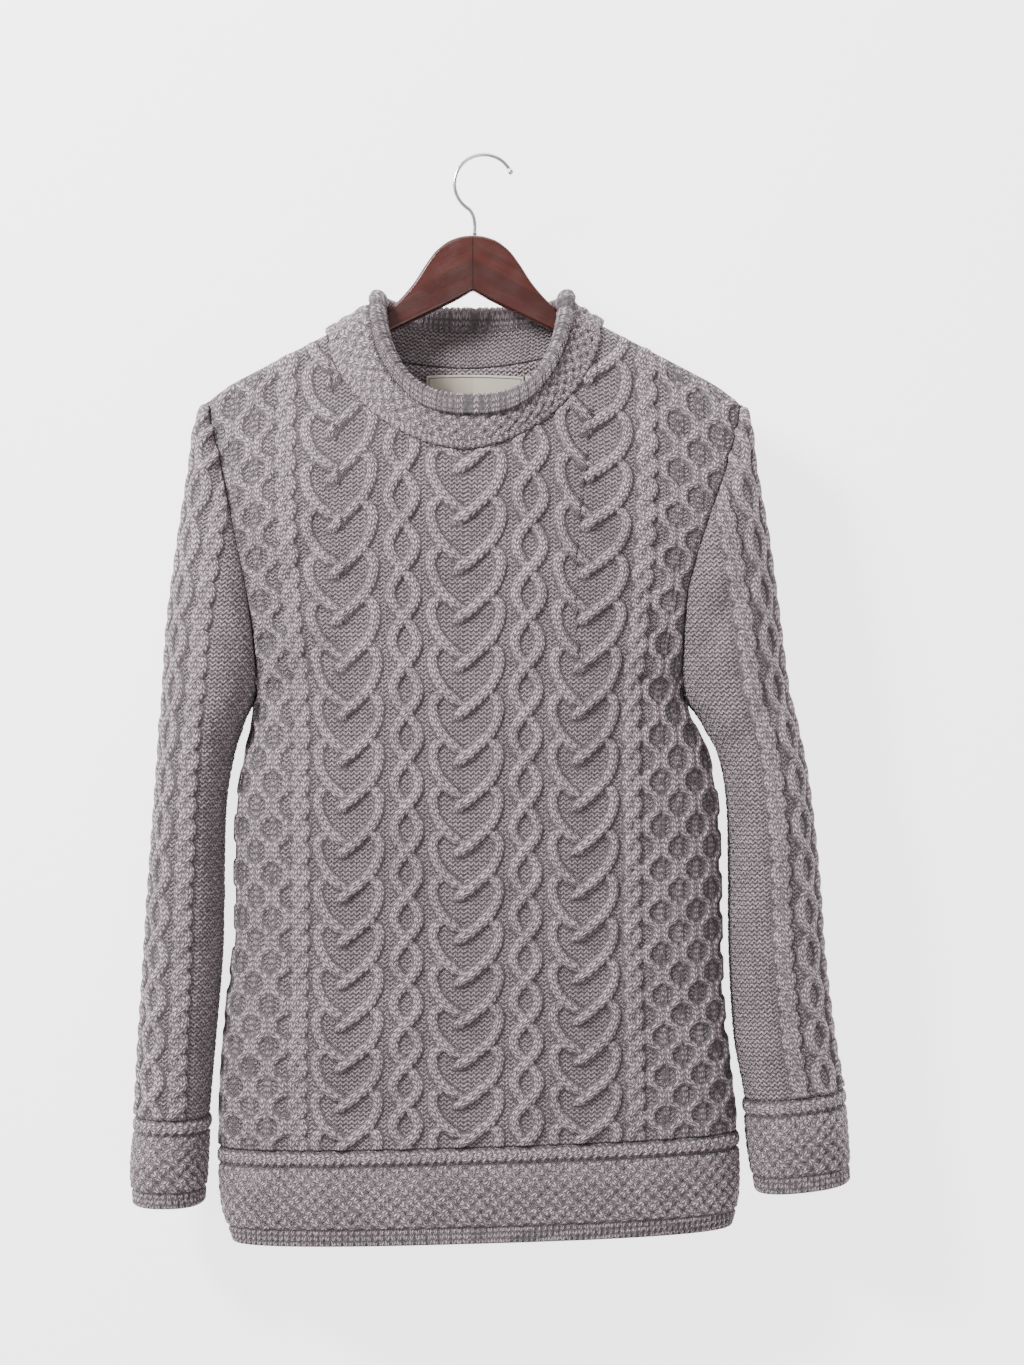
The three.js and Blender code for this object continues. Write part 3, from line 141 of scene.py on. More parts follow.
BODY = Track(
    ("down", "left", "right", "front", "back", "spread"),
    (
        (110, -214, 200, 44, 36, 1.07),
        (192, -214, 200, 47, 39, 1.07),
        (240, -203, 188.5, 50, 41, 1.07),
        (290, -192, 171, 53, 43, 1.06),
        (340, -182, 157, 55, 44, 1.04),
        (385, -176.5, 154, 57, 45, 1.01),
        (416, -176, 154, 58, 46, 0.99),
        (440, -178, 161, 58, 46, 0.98),
        (466, -184, 173, 58, 46, 0.98),
        (504, -190.5, 180.5, 58, 45, 0.98),
        (552, -192, 182.5, 57, 45, 0.98),
        (605, -192, 183.5, 56, 44, 0.98),
        (657, -198, 185, 56, 44, 0.99),
        (720, -203, 191.5, 55, 43, 1),
        (764, -204, 196, 54, 42, 1),
        (795, -204, 197, 54, 42, 1),
        (818, -201.5, 195, 53, 41, 1),
        (845, -193, 187, 49, 37, 1),
    ),
)
SLEEVE = {
    Side.LEFT: Track(
        ("down", "outer", "inner", "front", "back"),
        (
            (190, -214.4, -214, 10, 9),
            (200, -218.5, -212, 17, 15),
            (216, -223, -209, 25, 23),
            (243, -226, -203, 35, 32),
            (295, -234, -191, 44, 40),
            (363, -243, -178, 48, 44),
            (416, -246.5, -176.4, 49, 45),
            (440, -248, -187.5, 49, 45),
            (466, -250, -195.5, 48, 44),
            (501, -252.5, -201.5, 47, 43),
            (560, -257, -203.5, 45, 42),
            (620, -261, -204.5, 43, 40),
            (687, -265.5, -210, 41, 38),
            (746, -269, -215, 39, 36),
            (785, -272.5, -217, 39, 36),
            (816, -271, -219, 37, 34),
        ),
    ),
    Side.RIGHT: Track(
        ("down", "outer", "inner", "front", "back"),
        (
            (190, 200.4, 200, 10, 9),
            (200, 203, 198, 16, 14),
            (218, 206.5, 194, 25, 23),
            (243, 209, 188, 34, 31),
            (295, 218.5, 169, 44, 40),
            (353, 226.5, 156, 48, 44),
            (416, 234.5, 154.4, 49, 45),
            (440, 240, 170, 49, 45),
            (466, 246, 183.5, 48, 44),
            (501, 251.5, 190, 47, 43),
            (560, 258, 191.5, 45, 42),
            (620, 262.5, 192, 43, 40),
            (687, 271, 196, 41, 38),
            (729, 278.5, 203.5, 40, 37),
            (770, 282, 207, 40, 37),
            (803, 283.5, 212.5, 38, 35),
        ),
    ),
}


def smooth(t: Array) -> Array:
    """Eases a share from 0 to 1, with level ends."""
    t = np.clip(t, 0, 1)
    return t * t * (3 - 2 * t)


def solve(f: Callable[[Array], Array], low: Array, high: Array) -> Array:
    """Finds where rising functions are zero, by halving.

    Args:
        f: Takes one trial value for each function and returns their values.
        low: Lower ends of the search.
        high: Upper ends of the search.

    Returns:
        One root for each function.
    """
    low, high = low.copy(), high.copy()
    for _ in range(HALVINGS):
        middle = (low + high) / 2
        below = f(middle) < 0
        low = np.where(below, middle, low)
        high = np.where(below, high, middle)
    return (low + high) / 2


def repeat_at(down: Array) -> Array:
    """Counts cable repeats down the garment. Their height shrinks a little with each one."""
    root = np.sqrt(REPEAT_HEIGHT**2 - 4 * REPEAT_SHRINK * (down - FIRST_TIP))
    return (REPEAT_HEIGHT - root) / (2 * REPEAT_SHRINK) + 0.5


def ridge_down(x: Array) -> Array:
    """Height of the shoulder line: two straight slopes that drop off round the tips.

    Args:
        x: Places across the garment.

    Returns:
        Distances below the origin.
    """
    d = np.abs(x - APEX_X)
    over = np.maximum(0, (d - TIP_ROUND_FROM) / TIP_ROUND_OVER)
    return APEX_DOWN + SHOULDER_SLOPE * d + TIP_DROP * over**2


def top_down(x: Array, face: Face) -> Array:
    """Height of the shoulder line and, between its ends, of the neckline's superellipse.

    Args:
        x: Places across the garment.
        face: Front or back.

    Returns:
        Distances below the origin.
    """
    u = np.clip((x - NECK_X) / NECK_HALF, -1, 1)
    left, right = ridge_down(np.array([NECK_X - NECK_HALF, NECK_X + NECK_HALF]))
    side = left + (u + 1) / 2 * (right - left)
    dip = (1 - np.abs(u) ** NECK_POWER) ** (1 / NECK_POWER)
    neck = side + (NECK_DOWN[face] - side) * dip
    return np.where(np.abs(u) >= 1, ridge_down(x), neck)


def edge_share(down: Array) -> Array:
    """Share of the depth that is left where a panel meets the armhole or the side seam."""
    v = np.clip((down - SHOULDER_DOWN) / (UNDERARM - SHOULDER_DOWN), 0, 1)
    return ARMHOLE_FULLNESS * np.sqrt(np.maximum(1 - v**ARMHOLE_POWER, 0))


def depth_below_ridge(h: Array, depth: Array) -> Array:
    """Depth of the cloth below the shoulder line: a round fold, then a slope.

    Args:
        h: Distance below the shoulder line.
        depth: Full depth at that height.

    Returns:
        The depth there.
    """
    fold = FOLD_DEPTH * np.sqrt(1 - (1 - np.clip(h / FOLD_HEIGHT, 0, 1)) ** 2)
    slope = 1 - (1 - np.clip(h / SLOPE_HEIGHT, 0, 1)) ** SLOPE_POWER
    return fold + (depth - FOLD_DEPTH) * slope


class Quarters:
    """Quarter superellipses at many heights, measured along their arcs from the middle."""

    STEPS = 90

    def __init__(self, levels: Array, across: Array, depth: Array, power: float) -> None:
        """Measures the curves.

        Args:
            levels: Evenly spaced heights.
            across: Half width at each height.
            depth: Half depth at each height.
            power: Exponent of the superellipse.
        """
        self.levels, self.across, self.depth, self.power = levels, across, depth, power
        angle = np.linspace(0, math.pi / 2, self.STEPS + 1)
        x = across[:, None] * np.sin(angle) ** (2 / power)
        y = depth[:, None] * np.maximum(np.cos(angle), 0) ** (2 / power)
        arc = np.hypot(np.diff(x), np.diff(y)).cumsum(axis=1)
        arc = np.hstack([np.zeros((len(levels), 1)), arc])
        self.length = arc[:, -1]
        self.share_by_angle = arc / self.length[:, None]
        even = np.linspace(0, 1, self.STEPS + 1)
        self.angle_by_share = np.stack([np.interp(even, row, angle) for row in self.share_by_angle])

    def _read(self, grid: Array, down: Array, column: Array) -> Array:
        """Reads a grid between its points: the four nearest, each by how near it is.

        Args:
            grid: Values by height and by even share.
            down: Height.
            column: Share.

        Returns:
            The values there.
        """
        step = self.levels[1] - self.levels[0]
        row = np.clip((down - self.levels[0]) / step, 0, len(self.levels) - 1.001)
        column = np.clip(column * self.STEPS, 0, self.STEPS - 0.001)
        i, j = row.astype(int), column.astype(int)
        s, t = row - i, column - j
        upper = grid[i, j] * (1 - t) + grid[i, j + 1] * t
        lower = grid[i + 1, j] * (1 - t) + grid[i + 1, j + 1] * t
        return upper * (1 - s) + lower * s

    def total(self, down: Array) -> Array:
        """Length of the curve at a height."""
        return np.interp(down, self.levels, self.length)

    def share_at(self, down: Array, x_share: Array) -> Array:
        """Share of the arc at a share of the half width."""
        angle = np.arcsin(np.clip(x_share, 0, 1) ** (self.power / 2))
        return self._read(self.share_by_angle, down, angle / (math.pi / 2))

    def point(self, down: Array, share: Array) -> tuple[Array, Array]:
        """Point at a share of the arc.

        Args:
            down: Height.
            share: Share of the arc from the middle.

        Returns:
            Its distance across and its depth.
        """
        angle = self._read(self.angle_by_share, down, share)
        across = np.interp(down, self.levels, self.across)
        depth = np.interp(down, self.levels, self.depth)
        x = across * np.sin(angle) ** (2 / self.power)
        return x, depth * np.maximum(np.cos(angle), 0) ** (2 / self.power)


class BodyForm:
    """Ground surface of the body, front and back."""

    TOP, BOTTOM, LEVELS = 100, 860, 381
    DROOP, DROOP_OVER, DROOP_HALF = 40, 230, 200
    LEAN, LEAN_OVER = 0.03, 300
    COLUMNS = (60.0, 300.0)
    ROWS = (60.0, 330.0)
    TIP_ROWS = (100.0, 300.0)

    def __init__(self) -> None:
        """Measures its cross sections at every height."""
        levels = np.linspace(self.TOP, self.BOTTOM, self.LEVELS)
        share = edge_share(levels)
        narrow = (1 - share**ROUNDNESS) ** (1 / ROUNDNESS)
        self.quarters: dict[tuple[Side, Face], Quarters] = {}
        for side in Side:
            edge = side.value * (BODY.at(side.name.lower(), levels) - PATTERN_X)
            for face in Face:
                depth = BODY.at(face.name.lower(), levels)
                key = (side, face)
                self.quarters[key] = Quarters(levels, edge / narrow, depth, ROUNDNESS)

    def row_down(self, column: Array, row: Array) -> Array:
        """Height of a stitch: rows droop to the shoulders and lean a little near the hem.

        Args:
            column: Stitch columns.
            row: Stitch rows.

        Returns:
            Distances below the origin.
        """
        droop = self.DROOP * smooth((UNDERARM - row) / self.DROOP_OVER)
        lean = self.LEAN * smooth((row - UNDERARM) / self.LEAN_OVER)
        return row + droop * (column / self.DROOP_HALF) ** 2 - lean * column

    def edge(self, side: Side, face: Face, down: Array) -> Array:
        """Arc from the middle column to the armhole or side seam.

        Args:
            side: Left or right.
            face: Front or back.
            down: Heights.

        Returns:
            Lengths of the arc.
        """
        quarters = self.quarters[side, face]
        share = edge_share(down)
        x_share = (1 - share**ROUNDNESS) ** (1 / ROUNDNESS)
        return quarters.share_at(down, x_share) * quarters.total(down)

    def point(self, face: Face, column: Array, row: Array) -> Array:
        """Ground point of a stitch.

        Args:
            face: Front or back.
            column: Stitch columns.
            row: Stitch rows, of the same shape.

        Returns:
            Points, with the coordinates along the last axis.
        """
        down = self.row_down(column, row)
        spread = BODY.at("spread", down)
        depth = BODY.at(face.name.lower(), down)
        made = []
        for side in Side:
            quarters = self.quarters[side, face]
            arc = np.minimum(np.abs(column) * spread, self.edge(side, face, down))
            across, deep = quarters.point(down, arc / quarters.total(down))
            made.append((PATTERN_X + side.value * across, deep / depth))
        left = column < 0
        x = np.where(left, made[0][0], made[1][0])
        share = np.where(left, made[0][1], made[1][1])
        deep = share * depth_below_ridge(down - ridge_down(x), depth)
        return np.stack([x, face.value * (deep + SEAM), -down], axis=-1)

    def edge_column(self, side: Side, face: Face, row: Array) -> Array:
        """Column where a row meets the armhole or side seam.

        Args:
            side: Left or right.
            face: Front or back.
            row: Stitch rows.

        Returns:
            Stitch columns.
        """

        def beyond(c: Array) -> Array:
            """How far a column lies past the edge."""
            down = self.row_down(side.value * c, row)
            return c - self.edge(side, face, down) / BODY.at("spread", down)

        low, high = (np.full(row.shape, column) for column in self.COLUMNS)
        return side.value * solve(beyond, low, high)

    def top_row(self, face: Face, column: Array) -> Array:
        """Row where a column meets the shoulder seam or the neckline.

        Args:
            face: Front or back.
            column: Stitch columns.

        Returns:
            Stitch rows.
        """

        def below(row: Array) -> Array:
            """How far a row lies below the top edge."""
            p = self.point(face, column, row)
            return -p[..., 2] - top_down(p[..., 0], face)

        low, high = (np.full(column.shape, row) for row in self.ROWS)
        return solve(below, low, high)

    def tip_row(self, side: Side, face: Face) -> float:
        """Row of the shoulder tip.

        Args:
            side: Left or right.
            face: Front or back.

        Returns:
            The row.
        """
        tip = ridge_down(np.array(TIP_X[side]))

        def below(row: Array) -> Array:
            """How far the edge at a row lies below the tip."""
            return self.row_down(self.edge_column(side, face, row), row) - tip

        low, high = (np.array([row]) for row in self.TIP_ROWS)
        return float(solve(below, low, high)[0])


class SleeveForm:
    """Ground surface of a sleeve and its cuff. Columns count from its middle cable."""

    PAST_CUFF = 12
    THINNEST, LARGEST_SHARE, OPENING_SLOPE = 0.2, 0.98, 0.8
    LEAN_OVER = 250

    def __init__(self, side: Side) -> None:
        """Measures its cross sections at every height.

        Args:
            side: Which sleeve.
        """
        self.side = side
        self.tip = float(ridge_down(np.array(TIP_X[side])))
        levels = np.arange(self.tip, CUFF_ROWS[side][1] + self.PAST_CUFF, 1.0)
        track = SLEEVE[side]
        self.track = track
        outer = track.at("outer", levels)
        closed = levels >= UNDERARM
        x_edge = BODY.at(side.name.lower(), levels)
        self.quarters: dict[Face, Quarters] = {}
        self.reach: dict[Face, Array] = {}
        self.middle: dict[Face, Array] = {}
        for face in Face:
            full = BODY.at(face.name.lower(), levels)
            h = levels - ridge_down(x_edge)
            out = edge_share(levels) * depth_below_ridge(h, full)
            width = np.maximum(side.value * (outer - x_edge), self.THINNEST)
            depth = track.at(face.name.lower(), levels)
            open_depth = np.minimum(depth, out + self.OPENING_SLOPE * width)
            share = np.minimum(out / open_depth, self.LARGEST_SHARE)
            past = (1 - share**SLEEVE_ROUNDNESS) ** (1 / SLEEVE_ROUNDNESS)
            whole = side.value * (outer - track.at("inner", levels)) / 2
            a = np.maximum(np.where(closed, whole, width / (1 + past)), self.THINNEST)
            depth = np.where(closed, depth, open_depth)
            self.quarters[face] = Quarters(levels, a, depth, SLEEVE_ROUNDNESS)
            self.reach[face] = np.where(closed, 1.0, past)
            self.middle[face] = outer - side.value * a
        self.levels = levels

    def half(self, face: Face, down: Array) -> Array:
        """Arc from the outer edge round to the armhole or the inner seam.

        Args:
            face: Front or back.
            down: Heights.

        Returns:
            Lengths of the arc.
        """
        quarters = self.quarters[face]
        reach = np.interp(down, self.levels, self.reach[face])
        return quarters.total(down) * (1 + quarters.share_at(down, reach))

    def point(self, column: Array, row: Array) -> Array:
        """Ground point of a stitch.

        Args:
            column: Stitch columns.
            row: Stitch rows, of the same shape.

        Returns:
            Points, with the coordinates along the last axis.
        """
        around = column + SLEEVE_TURN
        settle = CUFF_LEAN[self.side] * smooth((row - UNDERARM) / self.LEAN_OVER)
        made = []
        for face in Face:
            quarters = self.quarters[face]
            full = np.minimum(np.abs(around) / self.half(face, row), 1)
            down = row - settle * np.cos(math.pi * full)
            length = quarters.total(down)
            arc = full * self.half(face, down)
            across, deep = quarters.point(down, np.abs(length - arc) / length)
            middle = np.interp(down, self.levels, self.middle[face])
            sign = self.side.value * np.where(arc < length, 1, -1)
            made.append(np.stack([middle + sign * across, face.value * deep, -down], axis=-1))
        return np.where((around > 0)[..., None], made[0], made[1])


@dataclass(frozen=True)
class Crease:
    """A soft fold between two places on the cloth, as X and distance below the origin."""

    start: tuple[float, float]
    end: tuple[float, float]
    depth: float
    width: float
    ends: float = 0.3
    swell: float = 0.45
    swell_at: float = 1.9

    def press(self, x: Array, down: Array) -> Array:
        """How far the fold pushes the cloth in: a bell-shaped trough between two low swells.

        Args:
            x: Places across the garment.
            down: Distances below the origin.

        Returns:
            Depths of the fold there.
        """
        ax, ad = self.start
        bx, bd = self.end
        length = math.hypot(bx - ax, bd - ad)
        along = ((x - ax) * (bx - ax) + (down - ad) * (bd - ad)) / length**2
        off = ((x - ax) * (bd - ad) - (down - ad) * (bx - ax)) / length
        ends = smooth(along / self.ends) * smooth((1 - along) / self.ends)
        trough = np.exp(-((off / self.width) ** 2))
        beside = (np.abs(off) - self.swell_at * self.width) / self.width
        return self.depth * ends * (trough - self.swell * np.exp(-(beside**2)))


BODY_CREASES = {
    Face.FRONT: (
        Crease((-143, 600), (-140, 850), 2.6, 11),
        Crease((60, 690), (56, 850), 1.6, 14),
        Crease((-176, 400), (-112, 270), 2.6, 9),
        Crease((-176, 430), (-96, 370), 2.2, 10),
        Crease((154, 405), (100, 290), 2.6, 9),
        Crease((160, 440), (88, 385), 2.2, 10),
        Crease((-60, 520), (-20, 700), 1.3, 16),
    ),
    Face.BACK: (
        Crease((-176, 400), (-100, 285), 2.4, 10),
        Crease((154, 400), (84, 300), 2.4, 9),
        Crease((96, 560), (110, 850), 2.2, 13),
        Crease((-70, 640), (-84, 850), 1.8, 15),
    ),
}
SLEEVE_CREASES = {
    Side.LEFT: (
        Crease((-180, 400), (-222, 330), 2.2, 8),
        Crease((-198, 470), (-244, 420), 1.8, 9),
        Crease((-205, 600), (-250, 560), 1.2, 9),
    ),
    Side.RIGHT: (
        Crease((158, 400), (205, 320), 2.2, 8),
        Crease((184, 470), (232, 410), 2.0, 9),
        Crease((200, 610), (252, 565), 1.4, 9),
    ),
}


class Stitch(Enum):
    """What kind of stitch shows, as the value that the material reads."""

    PURL = 0
    KNIT = 1


class Chart:
    """What is knitted at each stitch: its height, and its place along its own strand."""

    STITCHES_DOWN, STITCHES_ALONG = 1.12, 1.2
    CROSSING_LIFT = 0.9
    CELL_SWAY, CELL_SQUARENESS, CELL_PEAK, CELL_STRAND = 4.5, 1.5, 0.905, 7.4
    CELL_RIBS, CELL_RIB_WIDTH, CELL_RIB_HEIGHT = (-1.7, 1.7), 3.0, 1.3
    KNOT_WIDE, KNOT_HIGH, KNOT_RELIEF = 6.2, 5.6, 1.5
    BRAID_PITCH, BRAID_SWAY, BRAID_HEIGHT = 13, 2.2, 2.6
    BRAID_SLANT, BRAID_LIFT = 0.82, 0.8
    BASKET_SLANT = 0.707
    BASKET_WIDTH, BAND_HEIGHT, RIB_WIDTH = 7.4, 1.9, 3.9

    def __init__(self, u: Array, v: Array) -> None:
        """Starts as plain reverse stocking stitch.

        Args:
            u: Columns.
            v: Rows, of the same shape.
        """
        self.u, self.v = u, v
        self.height = np.zeros(u.shape)
        self.across, self.along = u.copy(), v.copy()
        self.kind = np.full(u.shape, float(Stitch.PURL.value))

    def lay(
        self,
        across: Array,
        along: Array,
        width: float = STRAND_WIDTH,
        height: float = CABLE,
        lift: Array | float = 0.0,
        gate: Array | float = 1.0,
    ) -> None:
        """Lays a rounded strand over what is there.

        Args:
            across: Distance from the strand's middle.
            along: Distance along the strand.
            width: Width of the strand.
            height: Height of its crown.
            lift: How far it rides up over another strand.
            gate: Share of the strand that is there, from 0 to 1.
        """
        round_top = np.sqrt(np.clip(1 - (2 * across / width) ** 2, 0, 1))
        top = gate * (height * round_top + lift * np.minimum(2 * round_top, 1))
        over = (top > self.height) & (round_top > 0)
        self.height = np.where(over, top, self.height)
        self.across = np.where(over, across, self.across)
        self.along = np.where(over, along, self.along)
        self.kind = np.where(over, float(Stitch.KNIT.value), self.kind)

    def lay_down(self, centre: Callable[[Array], Array], **look: Any) -> None:
        """Lays a strand that runs down the rows.

        Args:
            centre: Gives the strand's column at each row.
            look: What lay() takes besides the place.
        """
        slope = (centre(self.v + 1) - centre(self.v - 1)) / 2
        slant = np.sqrt(1 + slope**2)
        self.lay((self.u - centre(self.v)) / slant, self.v * self.STITCHES_DOWN, **look)

    def twist(self, at: float, sway: float, rate: float, **look: Any) -> None:
        """Two strands that wind round each other. Each is in front on every other crossing.

        Args:
            at: Middle column.
            sway: How far a strand moves to each side.
            rate: Half turns in a repeat.
            look: What lay() takes besides the place.
        """
        for sign in (1, -1):

            def centre(v: Array, sign: int = sign) -> Array:
                """The strand's column: a cosine of the repeats."""
                return at + sign * sway * np.cos(math.pi * rate * repeat_at(v))

            lift = sign * self.CROSSING_LIFT * np.sin(math.pi * rate * repeat_at(self.v))
            self.lay_down(centre, lift=lift, **look)

    def hearts(self, at: float, half: float) -> None:
        """A column of nested hearts: each strand swells out and curls in over the next ones.

        Args:
            at: Middle column.
            half: Half width of the column.
        """
        for side in Side:
            end = HEART_END[side]
            for lag in (0, 1):
                base = np.floor(repeat_at(self.v)) - lag

                def centre(v: Array, base: Array = base, side: Side = side) -> Array:
                    """The strand's column, out and back in along the heart's outline."""
                    phase = np.clip(repeat_at(v) - base, 0, HEART_LAST)
                    return at + side.value * half * HEART.at("out", phase)

                # A strand starts under its neighbours and rides over them as it curls in.
                # The right one stays on top to its end.
                phase = repeat_at(self.v) - base
                gate = smooth(phase / 0.16) * smooth((end - phase) / 0.12)
                lift = 1.0 * smooth((phase - 0.85) / 0.3) - 0.5 * smooth((0.3 - phase) / 0.3)
                lift = lift + (0.7 * smooth((phase - 1.25) / 0.15) if side is Side.RIGHT else 0)
                self.lay_down(centre, lift=lift, gate=gate)

    def cell_wave(self, v: Array) -> Array:
        """A cosine of the repeats, squared off to flat sides by a hyperbolic tangent."""
        wave = np.tanh(self.CELL_SQUARENESS * np.cos(2 * math.pi * repeat_at(v)))
        return wave / self.CELL_PEAK

    def honeycomb(self, first: float, pitch: float, count: int) -> None:
        """Strands that sway together and apart, with two thin ribs in each cell.

        Args:
            first: Column of the innermost strand.
            pitch: Distance between strands.
            count: Strands on each side.
        """
        for side in Side:
            for i in range(count):
                turn = 1 if i % 2 else -1

                def centre(v: Array, i: int = i, turn: int = turn, side: Side = side) -> Array:
                    """The strand's column, swayed away from its place and back."""
                    sway = self.CELL_SWAY * turn * self.cell_wave(v)
                    return side.value * (first + pitch * i + sway)

                self.lay_down(centre, width=self.CELL_STRAND, height=0.95 * CABLE)
                opened = 0.5 + 0.5 * turn * np.cos(2 * math.pi * repeat_at(self.v))
                between = side.value * (first + pitch * (i + 0.5))
                gate = smooth(1.6 * (1 - opened))
                look = {"width": self.CELL_RIB_WIDTH, "height": self.CELL_RIB_HEIGHT}
                for rib in self.CELL_RIBS:
                    self.lay(self.u - between - rib, self.v, gate=gate, **look)

    def moss(self, beyond: float) -> None:
        """Raised knots in a checker past a column, on both sides.

        Args:
            beyond: Column where they start.
        """
        wide = np.cos(2 * math.pi * self.u / self.KNOT_WIDE)
        checker = wide * np.cos(2 * math.pi * self.v / self.KNOT_HIGH)
        there = smooth((np.abs(self.u) - beyond) / 2)
        knots = self.KNOT_RELIEF * smooth(0.5 + 0.8 * checker) * there
        self.height = np.maximum(self.height, knots)

    def braid(self, at: float, width: float = 6.0) -> None:
        """A twisted ridge along a row.

        Args:
            at: Its row.
            width: Width of each of its two strands.
        """
        for sign in (1, -1):
            turn = 2 * math.pi * self.u / self.BRAID_PITCH
            across = (self.v - at - sign * self.BRAID_SWAY * np.cos(turn)) * self.BRAID_SLANT
            lift = self.BRAID_LIFT * sign * np.sin(turn)
            self.lay(across, self.u * self.STITCHES_ALONG, width, self.BRAID_HEIGHT, lift)

    def basket(self, top: float, bottom: float) -> None:
        """Strands woven on the slant between two rows.

        Args:
            top: First row.
            bottom: Last row.
        """
        a = (self.u + self.v - top) / BASKET_PITCH
        b = (self.u - self.v + top) / BASKET_PITCH
        gate = smooth((self.v - top + 2) / SEAM_FADE) * smooth((bottom + 2 - self.v) / SEAM_FADE)
        pitch = BASKET_PITCH * self.BASKET_SLANT
        for mine, other in ((a, b), (b, a)):
            sign = 1 if mine is a else -1
            across = (mine - np.floor(mine) - 0.5) * pitch
            flips = np.where((np.floor(mine) + np.floor(other)) % 2 == 0, 1.0, -1.0)
            lift = self.CROSSING_LIFT * sign * flips * np.abs(np.sin(math.pi * other))
            self.lay(across, other * pitch, self.BASKET_WIDTH, self.BAND_HEIGHT, lift, gate)

    def ribs(self, top: float) -> None:
        """Upright ribs below a row.

        Args:
            top: Row where they start.
        """
        across = (self.u / RIB_PITCH - np.round(self.u / RIB_PITCH)) * RIB_PITCH
        gate = smooth((self.v - top) / EDGE_FADE)
        self.lay(across, self.v, self.RIB_WIDTH, self.BAND_HEIGHT, gate=gate)


HEART = Track(
    ("phase", "out"),
    (
        (0, 0.56),
        (0.17, 0.78),
        (0.35, 0.88),
        (0.6, 0.84),
        (0.8, 0.74),
        (1.0, 0.57),
        (1.2, 0.31),
        (1.4, 0.02),
        (1.5, -0.12),
        (1.62, -0.2),
        (1.75, -0.2),
    ),
)
HEART_LAST = 1.7
HEART_END = {Side.LEFT: 1.38, Side.RIGHT: 1.66}

# Places of the cables, in columns from the middle one, with their half widths or sways
HEARTS = ((0, 29), (-91, 27.5), (91, 27.5))
ROPES, ROPE_SWAY = (-46, 46), 9.6
CORDS, CORD_SWAY = (-129.5, 129.5), 4.2
HONEYCOMB_FIRST, HONEYCOMB_PITCH, HONEYCOMB_STRANDS = 145.5, 15, 8
CHAIN_SWAY = 8.8
SLEEVE_CORDS, SLEEVE_CORD_SWAY = (-22.5, 22.5), 3.9
MOSS_FROM = 32


def body_chart(u: Array, v: Array) -> Chart:
    """The pattern of the front and back: hearts, ropes and honeycomb.

    Args:
        u: Columns.
        v: Rows.

    Returns:
        The chart.
    """
    chart = Chart(u, v)
    chart.honeycomb(HONEYCOMB_FIRST, HONEYCOMB_PITCH, HONEYCOMB_STRANDS)
    for at, half in HEARTS:
        chart.hearts(at, half)
    for at in ROPES:
        chart.twist(at, ROPE_SWAY, 1)
    for at in CORDS:
        chart.twist(at, CORD_SWAY, 2)
    return chart


def sleeve_chart(u: Array, v: Array) -> Chart:
    """The pattern of a sleeve: a chain between two ropes, and moss stitch to the seam.

    Args:
        u: Columns.
        v: Rows.

    Returns:
        The chart.
    """
    chart = Chart(u, v)
    chart.moss(MOSS_FROM)
    chart.twist(0, CHAIN_SWAY, 1)
    for at in SLEEVE_CORDS:
        chart.twist(at, SLEEVE_CORD_SWAY, 2)
    return chart


def band_chart(u: Array, v: Array, top: float, bottom: float) -> Chart:
    """The pattern of a hem or cuff band: a braid, a woven cable and a ribbed edge.

    Args:
        u: Columns.
        v: Rows.
        top: First row of the band.
        bottom: Last row of the band.

    Returns:
        The chart.
    """
    height = bottom - top
    chart = Chart(u, v)
    chart.basket(top + 0.2 * height, top + 0.8 * height)
    chart.ribs(top + 0.83 * height)
    chart.braid(top + 0.085 * height)
    return chart


